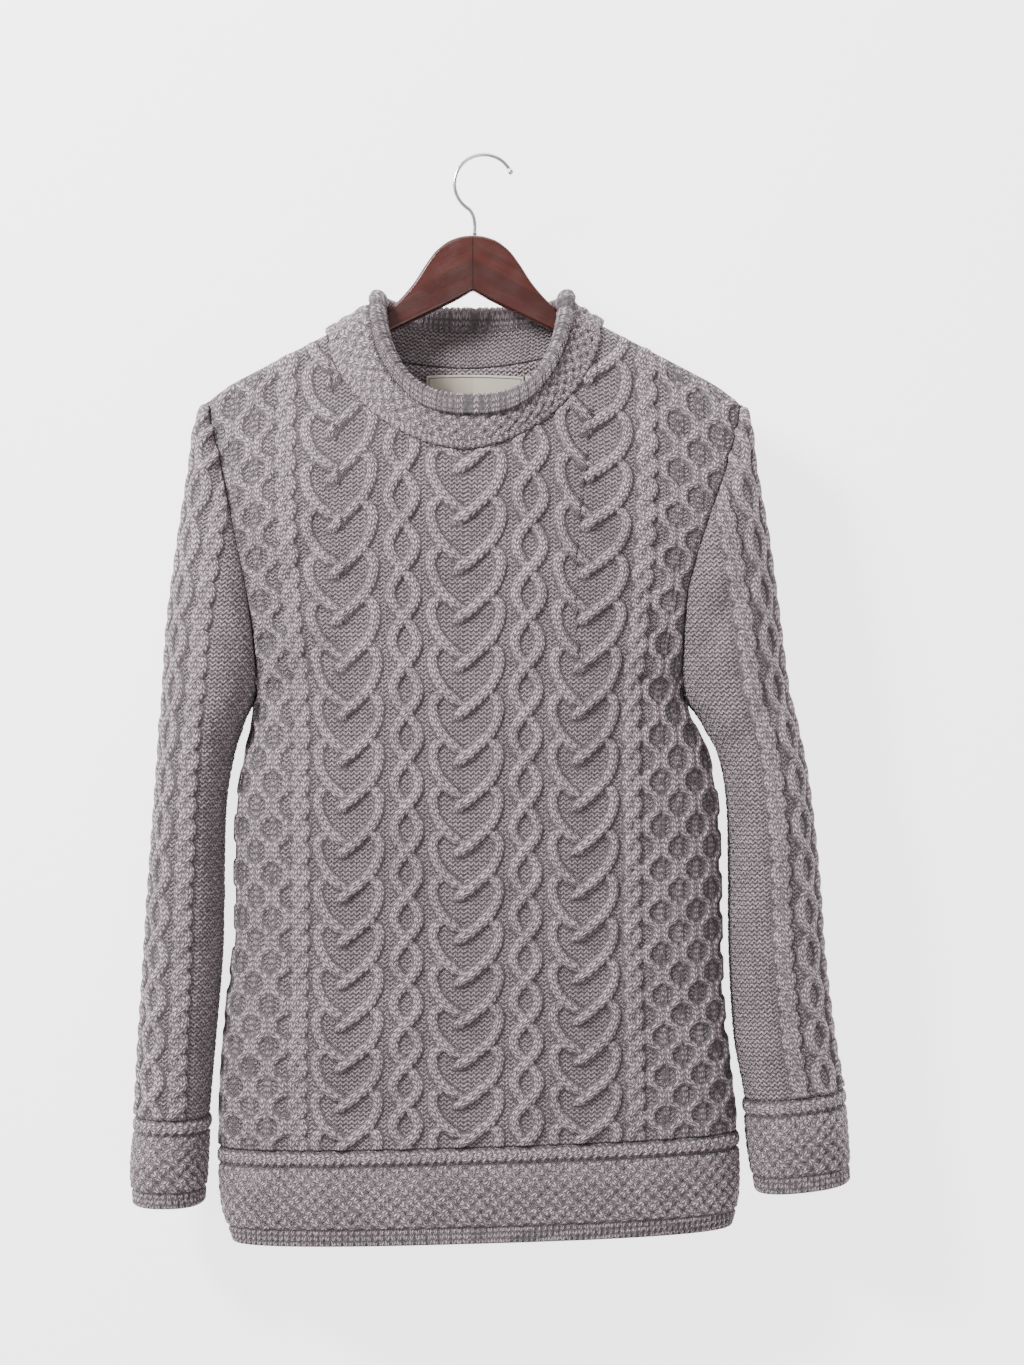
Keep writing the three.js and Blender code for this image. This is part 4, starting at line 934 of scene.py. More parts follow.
@dataclass
class Wall:
    """A closed wall of cloth over a grid, first axis along the columns and second down the rows.

    The inner face is plain and takes one point for every few of the outer face.
    """

    ground: Array
    normal: Array
    chart: Chart
    fade: Array
    thickness: float = WALL
    coarse: int = 5
    sewn_from: int | None = None
    creases: Sequence[Crease] = ()
    flip: bool = False

    def build(self, name: str) -> bpy.types.Object:
        """Makes the mesh object.

        Args:
            name: Name of the piece.

        Returns:
            The object, in metres.
        """
        ground = self.ground.copy()
        for crease in self.creases:
            press = crease.press(ground[..., 0], -ground[..., 2]) * self.fade
            ground -= self.normal * press[..., None]
        relief = self.chart.height * self.fade
        outer = ground + self.normal * relief[..., None]
        inner = (ground - self.normal * self.thickness)[:: self.coarse, :: self.coarse]
        if self.sewn_from is not None:
            self._sew(outer, self.sewn_from)
            self._sew(inner, self.sewn_from // self.coarse)
        stitch = np.stack([self.chart.across, self.chart.along, self.chart.kind], axis=-1)
        plain = np.stack([self.chart.u, self.chart.v, np.zeros(self.chart.u.shape)], axis=-1)
        plain = plain[:: self.coarse, :: self.coarse]
        points = np.vstack([outer.reshape(-1, 3), inner.reshape(-1, 3)]) * MM
        stitches = np.vstack([stitch.reshape(-1, 3), plain.reshape(-1, 3)])
        # The inner face takes half a cable's relief, which sets how much painted hollow shade it
        # gets.
        reliefs = np.concatenate([relief.ravel(), np.full(inner[..., 0].size, CABLE / 2)])
        faces = self._faces(outer.shape[:2], inner.shape[:2])
        return cloth_object(name, points, faces, stitches, reliefs)

    @staticmethod
    def _sew(points: Array, start: int) -> None:
        """Brings the first and last columns together below a row."""
        seam = (points[0, start:] + points[-1, start:]) / 2
        points[0, start:], points[-1, start:] = seam, seam

    def _faces(self, fine: tuple[int, int], plain: tuple[int, int]) -> list[list[int]]:
        """Faces of both sides and of the rims between them.

        Args:
            fine: Points of the outer face along both axes.
            plain: Points of the inner face along both axes.

        Returns:
            The corners of each face.
        """
        step = self.coarse
        ids = np.arange(fine[0] * fine[1]).reshape(fine)
        under = np.arange(plain[0] * plain[1]).reshape(plain) + ids.size
        seam = fine[1] if self.sewn_from is None else self.sewn_from
        if self.sewn_from is not None:
            ids[-1, seam:] = ids[0, seam:]
            under[-1, seam // step :] = under[0, seam // step :]
        faces = quads(ids).tolist() + quads(under)[:, ::-1].tolist()
        for m in range(plain[0] - 1):
            part = slice(m * step, (m + 1) * step + 1)
            faces.append([*ids[part, 0][::-1].tolist(), int(under[m, 0]), int(under[m + 1, 0])])
            faces.append([*ids[part, -1].tolist(), int(under[m + 1, -1]), int(under[m, -1])])
        for m in range(min(seam // step, plain[1] - 1)):
            part = slice(m * step, (m + 1) * step + 1)
            faces.append([*ids[0, part].tolist(), int(under[0, m + 1]), int(under[0, m])])
            faces.append([*ids[-1, part][::-1].tolist(), int(under[-1, m]), int(under[-1, m + 1])])
        return [face[::-1] for face in faces] if self.flip else faces


def quads(ids: Array) -> Array:
    """Four corners of each cell of a grid of vertex numbers."""
    corners = [ids[:-1, :-1], ids[1:, :-1], ids[1:, 1:], ids[:-1, 1:]]
    return np.stack(corners, axis=-1).reshape(-1, 4)


def normals_of(points: Array, outward: Array) -> tuple[Array, bool]:
    """Unit normals of a grid of points.

    Args:
        points: The grid.
        outward: Directions that point out of the cloth, one for each point or one for all.

    Returns:
        The normals, and whether the grid's own winding points inwards.
    """
    along_u = np.gradient(points, axis=0)
    along_v = np.gradient(points, axis=1)
    normal = np.cross(along_u, along_v)
    length = np.linalg.norm(normal, axis=-1, keepdims=True)
    normal = normal / np.maximum(length, 1e-9)
    flip = bool((normal * outward).sum() < 0)
    return (-normal if flip else normal), flip


def mesh_object(name: str, points: Array, faces: list[list[int]]) -> bpy.types.Object:
    """Makes a smooth mesh object.

    Args:
        name: Name of the piece.
        points: Vertices in metres.
        faces: Corners of each face.

    Returns:
        The object, linked to the scene.
    """
    mesh = bpy.data.meshes.new(name)
    mesh.from_pydata(points.tolist(), [], faces)
    mesh.polygons.foreach_set("use_smooth", np.ones(len(faces), bool))
    mesh.update()
    made = bpy.data.objects.new(name, mesh)
    bpy.context.scene.collection.objects.link(made)
    return made


def cloth_object(
    name: str, points: Array, faces: list[list[int]], stitches: Array, reliefs: Array
) -> bpy.types.Object:
    """Makes a piece of cloth that carries its stitches as attributes.

    Args:
        name: Name of the piece.
        points: Vertices in metres.
        faces: Corners of each face.
        stitches: Place across and along the strand and kind of stitch, for each vertex.
        reliefs: Height above the ground, for each vertex, which also sets the painted hollow shade.

    Returns:
        The object, linked to the scene.
    """
    used = np.zeros(len(points), bool)
    for face in faces:
        used[face] = True
    number = np.cumsum(used) - 1
    made = mesh_object(name, points[used], [number[face].tolist() for face in faces])
    stitch = made.data.attributes.new("stitch", "FLOAT_VECTOR", "POINT")
    stitch.data.foreach_set("vector", stitches[used].ravel())
    relief = made.data.attributes.new("relief", "FLOAT", "POINT")
    relief.data.foreach_set("value", reliefs[used].ravel())
    return made


def row_shares(count: int, dense: float = 0.012) -> Array:
    """Shares from 0 to 1 that lie closer together near 0, where cloth folds over a seam."""
    t = np.linspace(0, 1, count)
    return t * t / (t + dense) * (1 + dense)


def band_fade(v: Array, top: float, bottom: float) -> Array:
    """Share of a band's relief, less only close to its top and bottom edges."""
    return smooth((v - top) / EDGE_FADE + EDGE_LEFT) * smooth((bottom - v) / EDGE_FADE + EDGE_LEFT)


@dataclass(frozen=True)
class BodyPanel:
    """Front or back panel, from the shoulders and neckline to the hem band."""

    face: Face
    columns: int = 266
    rows: int = 346

    def build(self, form: BodyForm) -> bpy.types.Object:
        """Makes the panel: rows in shares from its top edge to its hem, closer at the top.

        Args:
            form: Ground of the body.

        Returns:
            The panel.
        """
        face = self.face
        share, s = row_shares(self.rows), np.linspace(-1, 1, self.columns)
        end = BODY_END - SEAM
        side_rows, edges = {}, {}
        for side in Side:
            side_rows[side] = form.tip_row(side, face) * (1 - share) + end * share
            edges[side] = np.abs(form.edge_column(side, face, side_rows[side]))
        edge = np.where(s[:, None] < 0, edges[Side.LEFT][None], edges[Side.RIGHT][None])
        u = s[:, None] * edge
        top = form.top_row(face, u[:, 0])
        v = top[:, None] * (1 - share) + end * share
        below_top = v - np.interp(u, u[:, 0], top)
        fade = smooth(below_top / BORDER_FADE) * smooth((end - v) / SEAM_FADE + EDGE_LEFT)
        fade = fade * smooth((1 - np.abs(s))[:, None] * edge / BORDER_FADE)
        ground = form.point(face, u, v)
        normal, flip = normals_of(ground, np.array([0, face.value, 0]))
        creases = BODY_CREASES[face]
        wall = Wall(ground, normal, body_chart(u, v), fade, creases=creases, flip=flip)
        return wall.build(f"cloth_{face.name.lower()}")


@dataclass(frozen=True)
class HemBand:
    """Band along the bottom of the front or back."""

    face: Face
    columns: int = 306
    rows: int = 56
    side_fade: float = 3

    def build(self, form: BodyForm) -> bpy.types.Object:
        """Makes the band on a plain grid between the side seams.

        Args:
            form: Ground of the body.

        Returns:
            The band.
        """
        face = self.face
        rows = np.linspace(BODY_END + SEAM, HEM_END, self.rows)
        s = np.linspace(-1, 1, self.columns)
        edges = [np.abs(form.edge_column(side, face, rows)) for side in Side]
        edge = np.where(s[:, None] < 0, edges[0][None], edges[1][None])
        u = s[:, None] * edge
        v = np.broadcast_to(rows, u.shape).copy()
        fade = smooth((1 - np.abs(s))[:, None] * edge / self.side_fade)
        fade = fade * band_fade(v, rows[0], rows[-1])
        ground = form.point(face, u, v)
        normal, flip = normals_of(ground, np.array([0, face.value, 0]))
        chart = band_chart(u, v, rows[0], rows[-1])
        wall = Wall(ground, normal, chart, fade, creases=BODY_CREASES[face], flip=flip)
        return wall.build(f"hem_{face.name.lower()}")


def sleeve_tube(form: SleeveForm, rows: Array, count: int) -> tuple[Array, Array, Array]:
    """Grid round a sleeve from its back edge to its front edge.

    Args:
        form: Ground of the sleeve.
        rows: Its rows.
        count: Points round it.

    Returns:
        Columns, rows and ground points.
    """
    s = np.linspace(-1, 1, count)[:, None]
    back, front = form.half(Face.BACK, rows), form.half(Face.FRONT, rows)
    u = s * np.where(s < 0, back[None], front[None]) - SLEEVE_TURN
    v = np.broadcast_to(rows, u.shape).copy()
    ground = form.point(u, v)
    ground[..., 0] += form.side.value * SEAM
    return u, v, ground


def from_middle(ground: Array, rows: Array) -> Array:
    """Directions from the middle of each ring of a sleeve to its points."""
    middle = np.stack([ground[..., 0].mean(axis=0), 0 * rows, -rows], axis=-1)
    return ground - middle[None]


@dataclass(frozen=True)
class Sleeve:
    """Sleeve from the shoulder tip to its cuff, open along the armhole and sewn below it."""

    around: int = 156
    upper_rows: int = 136
    lower_rows: int = 191
    tip_gap: float = 0.5

    def build(self, form: SleeveForm) -> bpy.types.Object:
        """Makes the sleeve.

        Args:
            form: Ground of the sleeve.

        Returns:
            The sleeve.
        """
        end = CUFF_ROWS[form.side][0] - SEAM
        upper = np.linspace(form.tip + self.tip_gap, UNDERARM, self.upper_rows)
        rows = np.concatenate([upper, np.linspace(UNDERARM, end, self.lower_rows)[1:]])
        u, v, ground = sleeve_tube(form, rows, self.around)
        normal, flip = normals_of(ground, from_middle(ground, rows))
        s = np.abs(np.linspace(-1, 1, self.around))[:, None]
        girth = np.abs(u[-1] - u[0]) / 2
        fade = smooth((1 - s) * girth / BORDER_FADE + 0.02)
        fade = fade * smooth((end - v) / SEAM_FADE + EDGE_LEFT)
        fade = fade * smooth((v - rows[0]) / BORDER_FADE)
        look = {"sewn_from": self.upper_rows - 1, "creases": SLEEVE_CREASES[form.side]}
        wall = Wall(ground, normal, sleeve_chart(u, v), fade, flip=flip, **look)
        return wall.build(f"arm_{form.side.name.lower()}")


@dataclass(frozen=True)
class Cuff:
    """Band at the end of a sleeve, sewn all the way down."""

    around: int = 171
    rows: int = 51
    half_girth: float = 110
    seam_fade: float = 3

    def build(self, form: SleeveForm) -> bpy.types.Object:
        """Makes the band.

        Args:
            form: Ground of the sleeve.

        Returns:
            The band.
        """
        first, last = CUFF_ROWS[form.side]
        rows = np.linspace(first + SEAM, last, self.rows)
        u, v, ground = sleeve_tube(form, rows, self.around)
        normal, flip = normals_of(ground, from_middle(ground, rows))
        from_seam = (1 - np.abs(np.linspace(-1, 1, self.around)))[:, None] * self.half_girth
        fade = band_fade(v, rows[0], rows[-1]) * smooth(from_seam / self.seam_fade + 0.05)
        chart = band_chart(u, v, rows[0], rows[-1])
        wall = Wall(ground, normal, chart, fade, sewn_from=0, flip=flip)
        return wall.build(f"wrist_{form.side.name.lower()}")


@dataclass(frozen=True)
class Collar:
    """Rolled funnel collar: a ring on a superellipse, and the sizes of its stand and roll."""

    x: float = -9
    y: float = -8
    half: float = 74
    deep: float = 44
    side: float = 108
    front: float = 193
    back: float = 116
    power: float = 1.15
    roundness: float = 2.8
    belly: float = 5
    radius: float = 4.6
    wall: float = 4.2
    around: int = 360
    stand_rows: int = 42
    roll_rows: int = 16
    tail_rows: int = 10
    swell_front: float = 48
    swell_back: float = 32
    curl: float = 35
    rows_at: tuple[float, ...] = (0, 40, 52, 64)

    def feet(self, form: BodyForm) -> Array:
        """Points along the neckline, all round, in the middle of the cloth.

        Args:
            form: Ground of the body.

        Returns:
            Evenly spaced points.
        """
        rings = []
        for face in Face:
            ends = []
            for sign in (-1, 1):

                def short(c: Array, sign: int = sign, face: Face = face) -> Array:
                    """How far a column lies past the neckline's end."""
                    p = form.point(face, sign * c, form.top_row(face, sign * c))
                    return sign * (p[..., 0] - NECK_X) - NECK_HALF

                ends.append(sign * float(solve(short, np.array([60.0]), np.array([150.0]))[0]))
            column = np.linspace(ends[0], ends[1], 400)
            top = form.top_row(face, column)
            grid = np.stack([form.point(face, column, top + d) for d in (0, 3, 6)], axis=1)
            normal, _ = normals_of(grid, np.array([0, face.value, 0]))
            leave = grid[:, 0] - grid[:, 1]
            leave /= np.linalg.norm(leave, axis=-1, keepdims=True)
            foot = grid[:, 0] + 2 * SEAM * leave - normal[:, 0] * WALL / 2
            rings.append(foot if face is Face.FRONT else foot[::-1])
        ring = np.vstack(rings)
        ring = np.vstack([ring, ring[:1]])
        arc = np.concatenate([[0], np.linalg.norm(np.diff(ring, axis=0), axis=1).cumsum()])
        even = np.linspace(0, arc[-1], self.around + 1)[:-1]
        return np.stack([np.interp(even, arc, ring[:, i]) for i in range(3)], axis=-1)

    def profile(self, foot: Array) -> tuple[Array, Array]:
        """Curves from the neckline up the stand, over the roll and down its tail.

        Args:
            foot: Points on the neckline.

        Returns:
            The grid of points and the outward directions.
        """
        neck_depth = np.where(foot[:, 1] < 0, self.swell_front, self.swell_back)
        turn = np.arctan2((foot[:, 0] - NECK_X) / NECK_HALF, -foot[:, 1] / neck_depth)
        sin, cos = np.sin(turn), np.cos(turn)
        out = np.stack([sin * self.deep, -cos * self.half, 0 * sin], axis=-1)
        out /= np.linalg.norm(out, axis=-1, keepdims=True)
        bend = np.abs(cos) ** np.where(cos > 0, self.power, 1)
        down = self.side + (np.where(cos > 0, self.front, self.back) - self.side) * bend
        bulge = 2 / self.roundness
        x = self.x + self.half * np.sign(sin) * np.abs(sin) ** bulge
        y = self.y - self.deep * np.sign(cos) * np.abs(cos) ** bulge
        centre = np.stack([x, y, -down - self.radius], axis=-1)
        stand = centre - out * self.radius
        t = np.linspace(0, 1, self.stand_rows)[None, :, None]
        swell = self.belly * np.sin(math.pi * t) * bend[:, None, None]
        upright = foot[:, None] * (1 - t) + stand[:, None] * t + out[:, None] * swell
        share = np.linspace(0, 1, self.roll_rows + 1)[1:]
        last = self.curl + (1 - bend) * self.curl
        angle = np.radians(180 + (last[:, None] - 180) * share)
        across = self.radius * np.cos(angle)[..., None] * out[:, None]
        up = self.radius * np.sin(angle)[..., None] * np.array([0, 0, 1.0])
        roll = centre[:, None] + across + up
        share = np.linspace(0, 1, self.tail_rows + 1)[1:][None, :, None]
        fall = (4 + 7 * bend)[:, None, None] * np.array([0, 0, -1.0])
        tail = roll[:, -1:] + share * (2 * out[:, None] + fall)
        return np.concatenate([upright, roll, tail], axis=1), out

    def build(self, form: BodyForm) -> bpy.types.Object:
        """Makes the collar.

        Args:
            form: Ground of the body, which carries the neckline.

        Returns:
            The collar.
        """
        grid, out = self.profile(self.feet(form))
        wrapped = np.concatenate([grid[-1:], grid, grid[:1]], axis=0)
        aim = np.zeros(wrapped.shape)
        aim[1:-1, : self.stand_rows] = out[:, None]
        normal, flip = normals_of(wrapped, aim)
        normal = normal[1:-1]
        step = np.linalg.norm(np.diff(wrapped[1:, self.stand_rows // 2], axis=0), axis=1)
        u = np.broadcast_to(np.concatenate([[0], step[:-1].cumsum()])[:, None], grid.shape[:2])
        u = u * (round(step.sum() / (2 * BASKET_PITCH)) * 2 * BASKET_PITCH / step.sum())
        marks = (0, self.stand_rows - 1, self.stand_rows + self.roll_rows - 1, grid.shape[1] - 1)
        v = np.broadcast_to(np.interp(np.arange(grid.shape[1]), marks, self.rows_at), u.shape)
        chart = Chart(u.copy(), v.copy())
        chart.basket(8, 30)
        chart.ribs(38)
        chart.braid(4)
        lining = Chart(u.copy(), v.copy())
        lining.ribs(30)
        edge = smooth(v / 2 + EDGE_LEFT)
        edge = edge * smooth((self.rows_at[-1] - v) / EDGE_FADE + EDGE_LEFT)
        relief = [chart.height * edge, 0.8 * lining.height * edge]
        half = self.wall / 2
        sides = [
            grid + normal * (half + relief[0])[..., None],
            grid - normal * (half + relief[1])[..., None],
        ]
        ids = np.arange(u.size).reshape(u.shape)
        ids = np.vstack([ids, ids[:1]])
        under = ids + u.size
        faces = [*quads(ids), *quads(under)[:, ::-1]]
        rims = [(ids[:, 0][::-1], under[:, 0][::-1]), (ids[:, -1], under[:, -1])]
        for top, low in rims:
            faces.extend(np.stack([top[:-1], top[1:], low[1:], low[:-1]], axis=-1))
        faces = [face[::-1].tolist() if flip else face.tolist() for face in faces]
        stitch = [np.stack([c.across, c.along, c.kind], axis=-1) for c in (chart, lining)]
        return cloth_object(
            "neck_band",
            np.vstack([side.reshape(-1, 3) for side in sides]) * MM,
            faces,
            np.vstack([s.reshape(-1, 3) for s in stitch]),
            np.concatenate([r.ravel() for r in relief]),
        )


@dataclass(frozen=True)
class Tag:
    """A woven tag on the inside of the back, in columns and rows of the back panel."""

    name: str
    left: float
    right: float
    top: float
    bottom: float
    off: float
    thick: float = 0.8

    def build(self, form: BodyForm) -> bpy.types.Object:
        """Makes the tag.

        Args:
            form: Ground of the body.

        Returns:
            The tag.
        """
        columns = np.arange(self.left, self.right + 0.1, 1.0)
        rows = np.arange(self.top, self.bottom + 0.1, 1.0)
        u, v = np.meshgrid(columns, rows, indexing="ij")
        ground = form.point(Face.BACK, u, v)
        normal, flip = normals_of(ground, np.array([0, 1, 0]))
        ground = ground - normal * (WALL + self.off)
        chart, fade = Chart(u, v), np.ones(u.shape)
        wall = Wall(ground, normal, chart, fade, thickness=self.thick, coarse=1, flip=flip)
        return wall.build(self.name)


LABEL = Tag("neck_label", -31, 42, 166, 197, 2.4)
SIZE_TAG = Tag("size_mark", 43.2, 53.2, 165, 177, 1.5)


@dataclass(frozen=True)
class Hanger:
    """Flat wooden hanger: a bell-shaped head, two arms and a notch below the middle."""

    x: float = -8.5
    top: float = 61.6
    thick: float = 11
    rest: float = 0.7
    notch: float = 104.5
    rounding: float = 3.4

    def half_outline(self) -> list[tuple[float, float]]:
        """Corners of one half, from the top round.

        Returns:
            Distance from the middle and distance below the origin of each.
        """
        slant = math.hypot(1, SHOULDER_SLOPE)

        def arm(d: float) -> float:
            """Height of the arm's top edge, which runs along the shoulder line."""
            return APEX_DOWN + SHOULDER_SLOPE * d + (WALL + self.rest) * slant

        head = [(9, 62.4), (19, 65.8), (29, 73.6), (37, 84.6), (45, 97.6), (54, 108.6)]
        below = [(66, 2), (92, 6.6), (116, 5), (140, 0), (179, 0), (184, 3), (184, 11)]
        end = [(179, arm(184) + 14), (62, 135.5), (16, 113.5), (5, 107.5)]
        return head + [(d, arm(d) + b) for d, b in below] + end

    def build(self) -> bpy.types.Object:
        """Makes the board.

        Returns:
            The board.
        """
        half = self.half_outline()
        right = [(self.x + d, -down) for d, down in half]
        left = [(self.x - d, -down) for d, down in reversed(half)]
        line = np.array([(self.x, -self.top), *right, (self.x, -self.notch), *left])
        for _ in range(3):
            after = np.roll(line, -1, axis=0)
            line = np.stack([0.8 * line + 0.2 * after, 0.2 * line + 0.8 * after], axis=1)
            line = line.reshape(-1, 2)
        count = len(line)
        depth = self.thick / 2
        near = np.column_stack([line[:, 0], np.full(count, -depth), line[:, 1]])
        far = np.column_stack([line[:, 0], np.full(count, depth), line[:, 1]])
        ring = np.arange(count)
        after = np.roll(ring, -1)
        rim = np.stack([ring, ring + count, after + count, after], axis=-1).tolist()
        faces = [ring[::-1].tolist(), (ring + count).tolist(), *[f[::-1] for f in rim]]
        board = mesh_object("board", np.vstack([near, far]) * MM, faces)
        bevel = board.modifiers.new("rounding", "BEVEL")
        bevel.width, bevel.segments = self.rounding * MM, 5
        bevel.limit_method, bevel.angle_limit = "ANGLE", math.radians(60)
        board.modifiers.new("even shading", "WEIGHTED_NORMAL")
        return board


@dataclass(frozen=True)
class Hook:
    """Bent wire hook with a ball at its tip."""

    radius: float = 22.8
    wire: float = 1.65
    ball: float = 2.6
    stem: float = -7
    start: float = 24
    end: float = 236
    foot: float = 61.2
    sides: int = 28
    arc_steps: int = 110
    neck_steps: int = 24
    neck: float = 54
    straight: float = 58
    leave_pull: float = 16
    arrive_pull: float = 14

    def build(self) -> bpy.types.Object:
        """Makes the hook: an arc and a cubic curve into the stem, as one tube with a ball tip.

        Returns:
            The hook.
        """
        reach = self.start - math.degrees(self.ball / self.radius)
        angle = np.radians(np.linspace(reach, self.end, self.arc_steps))
        middle = self.wire - self.radius
        arc = np.column_stack([np.cos(angle), np.sin(angle)]) * self.radius + [0, middle]
        t = np.linspace(0, 1, self.neck_steps)[1:, None]
        heading = np.array([-math.sin(angle[-1]), math.cos(angle[-1])]) * self.leave_pull
        goal = np.array([self.stem, -self.neck])
        arrive = np.array([0, -self.arrive_pull])
        bend = (
            arc[-1] * (2 * t**3 - 3 * t**2 + 1)
            + heading * (t**3 - 2 * t**2 + t)
            + goal * (3 * t**2 - 2 * t**3)
            + arrive * (t**3 - t**2)
        )
        path = np.vstack([arc, bend, [[self.stem, -self.straight], [self.stem, -self.foot]]])
        along = np.gradient(path, axis=0)
        along /= np.linalg.norm(along, axis=1, keepdims=True)
        across = np.column_stack([-along[:, 1], along[:, 0]])
        run = np.concatenate([[0], np.linalg.norm(np.diff(path, axis=0), axis=1).cumsum()])
        swollen = np.sqrt(np.maximum(self.ball**2 - (run - self.ball) ** 2, 0))
        size = np.maximum(swollen, np.where(run > self.ball, self.wire, 0.05))
        turn = np.linspace(0, 2 * math.pi, self.sides + 1)[:-1]
        points = np.zeros((len(path), self.sides, 3))
        points[..., 0] = path[:, :1] + size[:, None] * np.cos(turn) * across[:, :1]
        points[..., 2] = path[:, 1:] + size[:, None] * np.cos(turn) * across[:, 1:]
        points[..., 1] = size[:, None] * np.sin(turn)
        ids = np.arange(points[..., 0].size).reshape(points.shape[:2])
        ids = np.hstack([ids, ids[:, :1]])
        faces = [*quads(ids).tolist(), ids[0, :-1].tolist(), ids[-1, :-1][::-1].tolist()]
        return mesh_object("wire", points.reshape(-1, 3) * MM, faces)


class Graph:
    """Short names for the nodes of one node tree."""

    def __init__(self, tree: bpy.types.NodeTree) -> None:
        """Wraps a node tree.

        Args:
            tree: The tree to add nodes to.
        """
        self.tree = tree

    def node(self, kind: str, **options: Any) -> bpy.types.Node:
        """Adds a node and sets its options.

        Args:
            kind: The node's type.
            options: Its settings.

        Returns:
            The node.
        """
        made = self.tree.nodes.new(kind)
        for name, value in options.items():
            setattr(made, name, value)
        return made

    def put(self, socket: bpy.types.NodeSocket, value: Any) -> None:
        """Links a socket into an input, or sets it as a constant.

        Args:
            socket: The input.
            value: Another node's output, or a constant.
        """
        if isinstance(value, bpy.types.NodeSocket):
            self.tree.links.new(value, socket)
        else:
            socket.default_value = value

    def math(self, operation: str, *values: Any, clamp: bool = False) -> bpy.types.NodeSocket:
        """A math node's result.

        Args:
            operation: What it works out.
            values: Its inputs.
            clamp: Whether the result is kept between 0 and 1.

        Returns:
            Its output.
        """
        made = self.node("ShaderNodeMath", operation=operation, use_clamp=clamp)
        for socket, value in zip(made.inputs, values):
            self.put(socket, value)
        return made.outputs[0]

    def noise(self, where: Any, scale: float, detail: float = 2.0) -> bpy.types.NodeSocket:
        """Value of a noise texture.

        Args:
            where: The place it is read at.
            scale: How fine it is.
            detail: How many finer layers it has.

        Returns:
            Its output.
        """
        made = self.node("ShaderNodeTexNoise")
        self.put(made.inputs["Vector"], where)
        made.inputs["Scale"].default_value = scale
        made.inputs["Detail"].default_value = detail
        return made.outputs["Fac"]

    def span(self, value: Any, low: float, high: float, to_low: float, to_high: float) -> Any:
        """Maps a value from one range to another, clamped and eased.

        Args:
            value: The value.
            low: Lower end of its range.
            high: Upper end of its range.
            to_low: Result at the lower end.
            to_high: Result at the upper end.

        Returns:
            The output.
        """
        made = self.node("ShaderNodeMapRange", interpolation_type="SMOOTHSTEP")
        for socket, given in zip(made.inputs, (value, low, high, to_low, to_high)):
            self.put(socket, given)
        return made.outputs[0]

    def blend(self, share: Any, a: Any, b: Any, kind: str = "MIX") -> bpy.types.NodeSocket:
        """Mixes two colours.

        Args:
            share: Share of the second colour.
            a: First colour.
            b: Second colour.
            kind: How they are mixed.

        Returns:
            The mixed colour.
        """
        made = self.node("ShaderNodeMix", data_type="RGBA", blend_type=kind)
        self.put(made.inputs[0], share)
        self.put(made.inputs[6], a)
        self.put(made.inputs[7], b)
        return made.outputs[2]

    def bump(self, height: Any, distance: float, strength: float = 1.0) -> bpy.types.NodeSocket:
        """Normal tilted by a height.

        Args:
            height: The height.
            distance: Metres that a height of 1 stands for.
            strength: Share of the tilt.

        Returns:
            The normal.
        """
        made = self.node("ShaderNodeBump")
        made.inputs["Strength"].default_value = strength
        made.inputs["Distance"].default_value = distance
        self.put(made.inputs["Height"], height)
        return made.outputs["Normal"]

    def place(self) -> bpy.types.NodeSocket:
        """Place on the garment, in metres."""
        return self.node("ShaderNodeTexCoord").outputs["Object"]

    def split(self, vector: bpy.types.NodeSocket) -> Any:
        """Takes a vector apart.

        Args:
            vector: The vector.

        Returns:
            Three outputs with its parts.
        """
        made = self.node("ShaderNodeSeparateXYZ")
        self.put(made.inputs[0], vector)
        return made.outputs

    def attribute(self, name: str, output: str) -> bpy.types.NodeSocket:
        """What the mesh carries under a name."""
        return self.node("ShaderNodeAttribute", attribute_name=name).outputs[output]

    def shaded(self, colour: Any, shade: Any) -> bpy.types.NodeSocket:
        """A colour times a shade of grey.

        Args:
            colour: The colour.
            shade: The grey.

        Returns:
            The darker or lighter colour.
        """
        grey = self.node("ShaderNodeCombineColor")
        for socket in grey.inputs[:3]:
            self.put(socket, shade)
        return self.blend(1.0, colour, grey.outputs[0], "MULTIPLY")


def new_group(name: str, outputs: dict[str, str]) -> tuple[bpy.types.NodeTree, Graph]:
    """Starts a shader node group that reads its own attributes.

    Args:
        name: Name of the group.
        outputs: Socket type of each output.

    Returns:
        The group and a graph over it.
    """
    tree = bpy.data.node_groups.new(name, "ShaderNodeTree")
    for label, kind in outputs.items():
        tree.interface.new_socket(label, in_out="OUTPUT", socket_type=kind)
    return tree, Graph(tree)


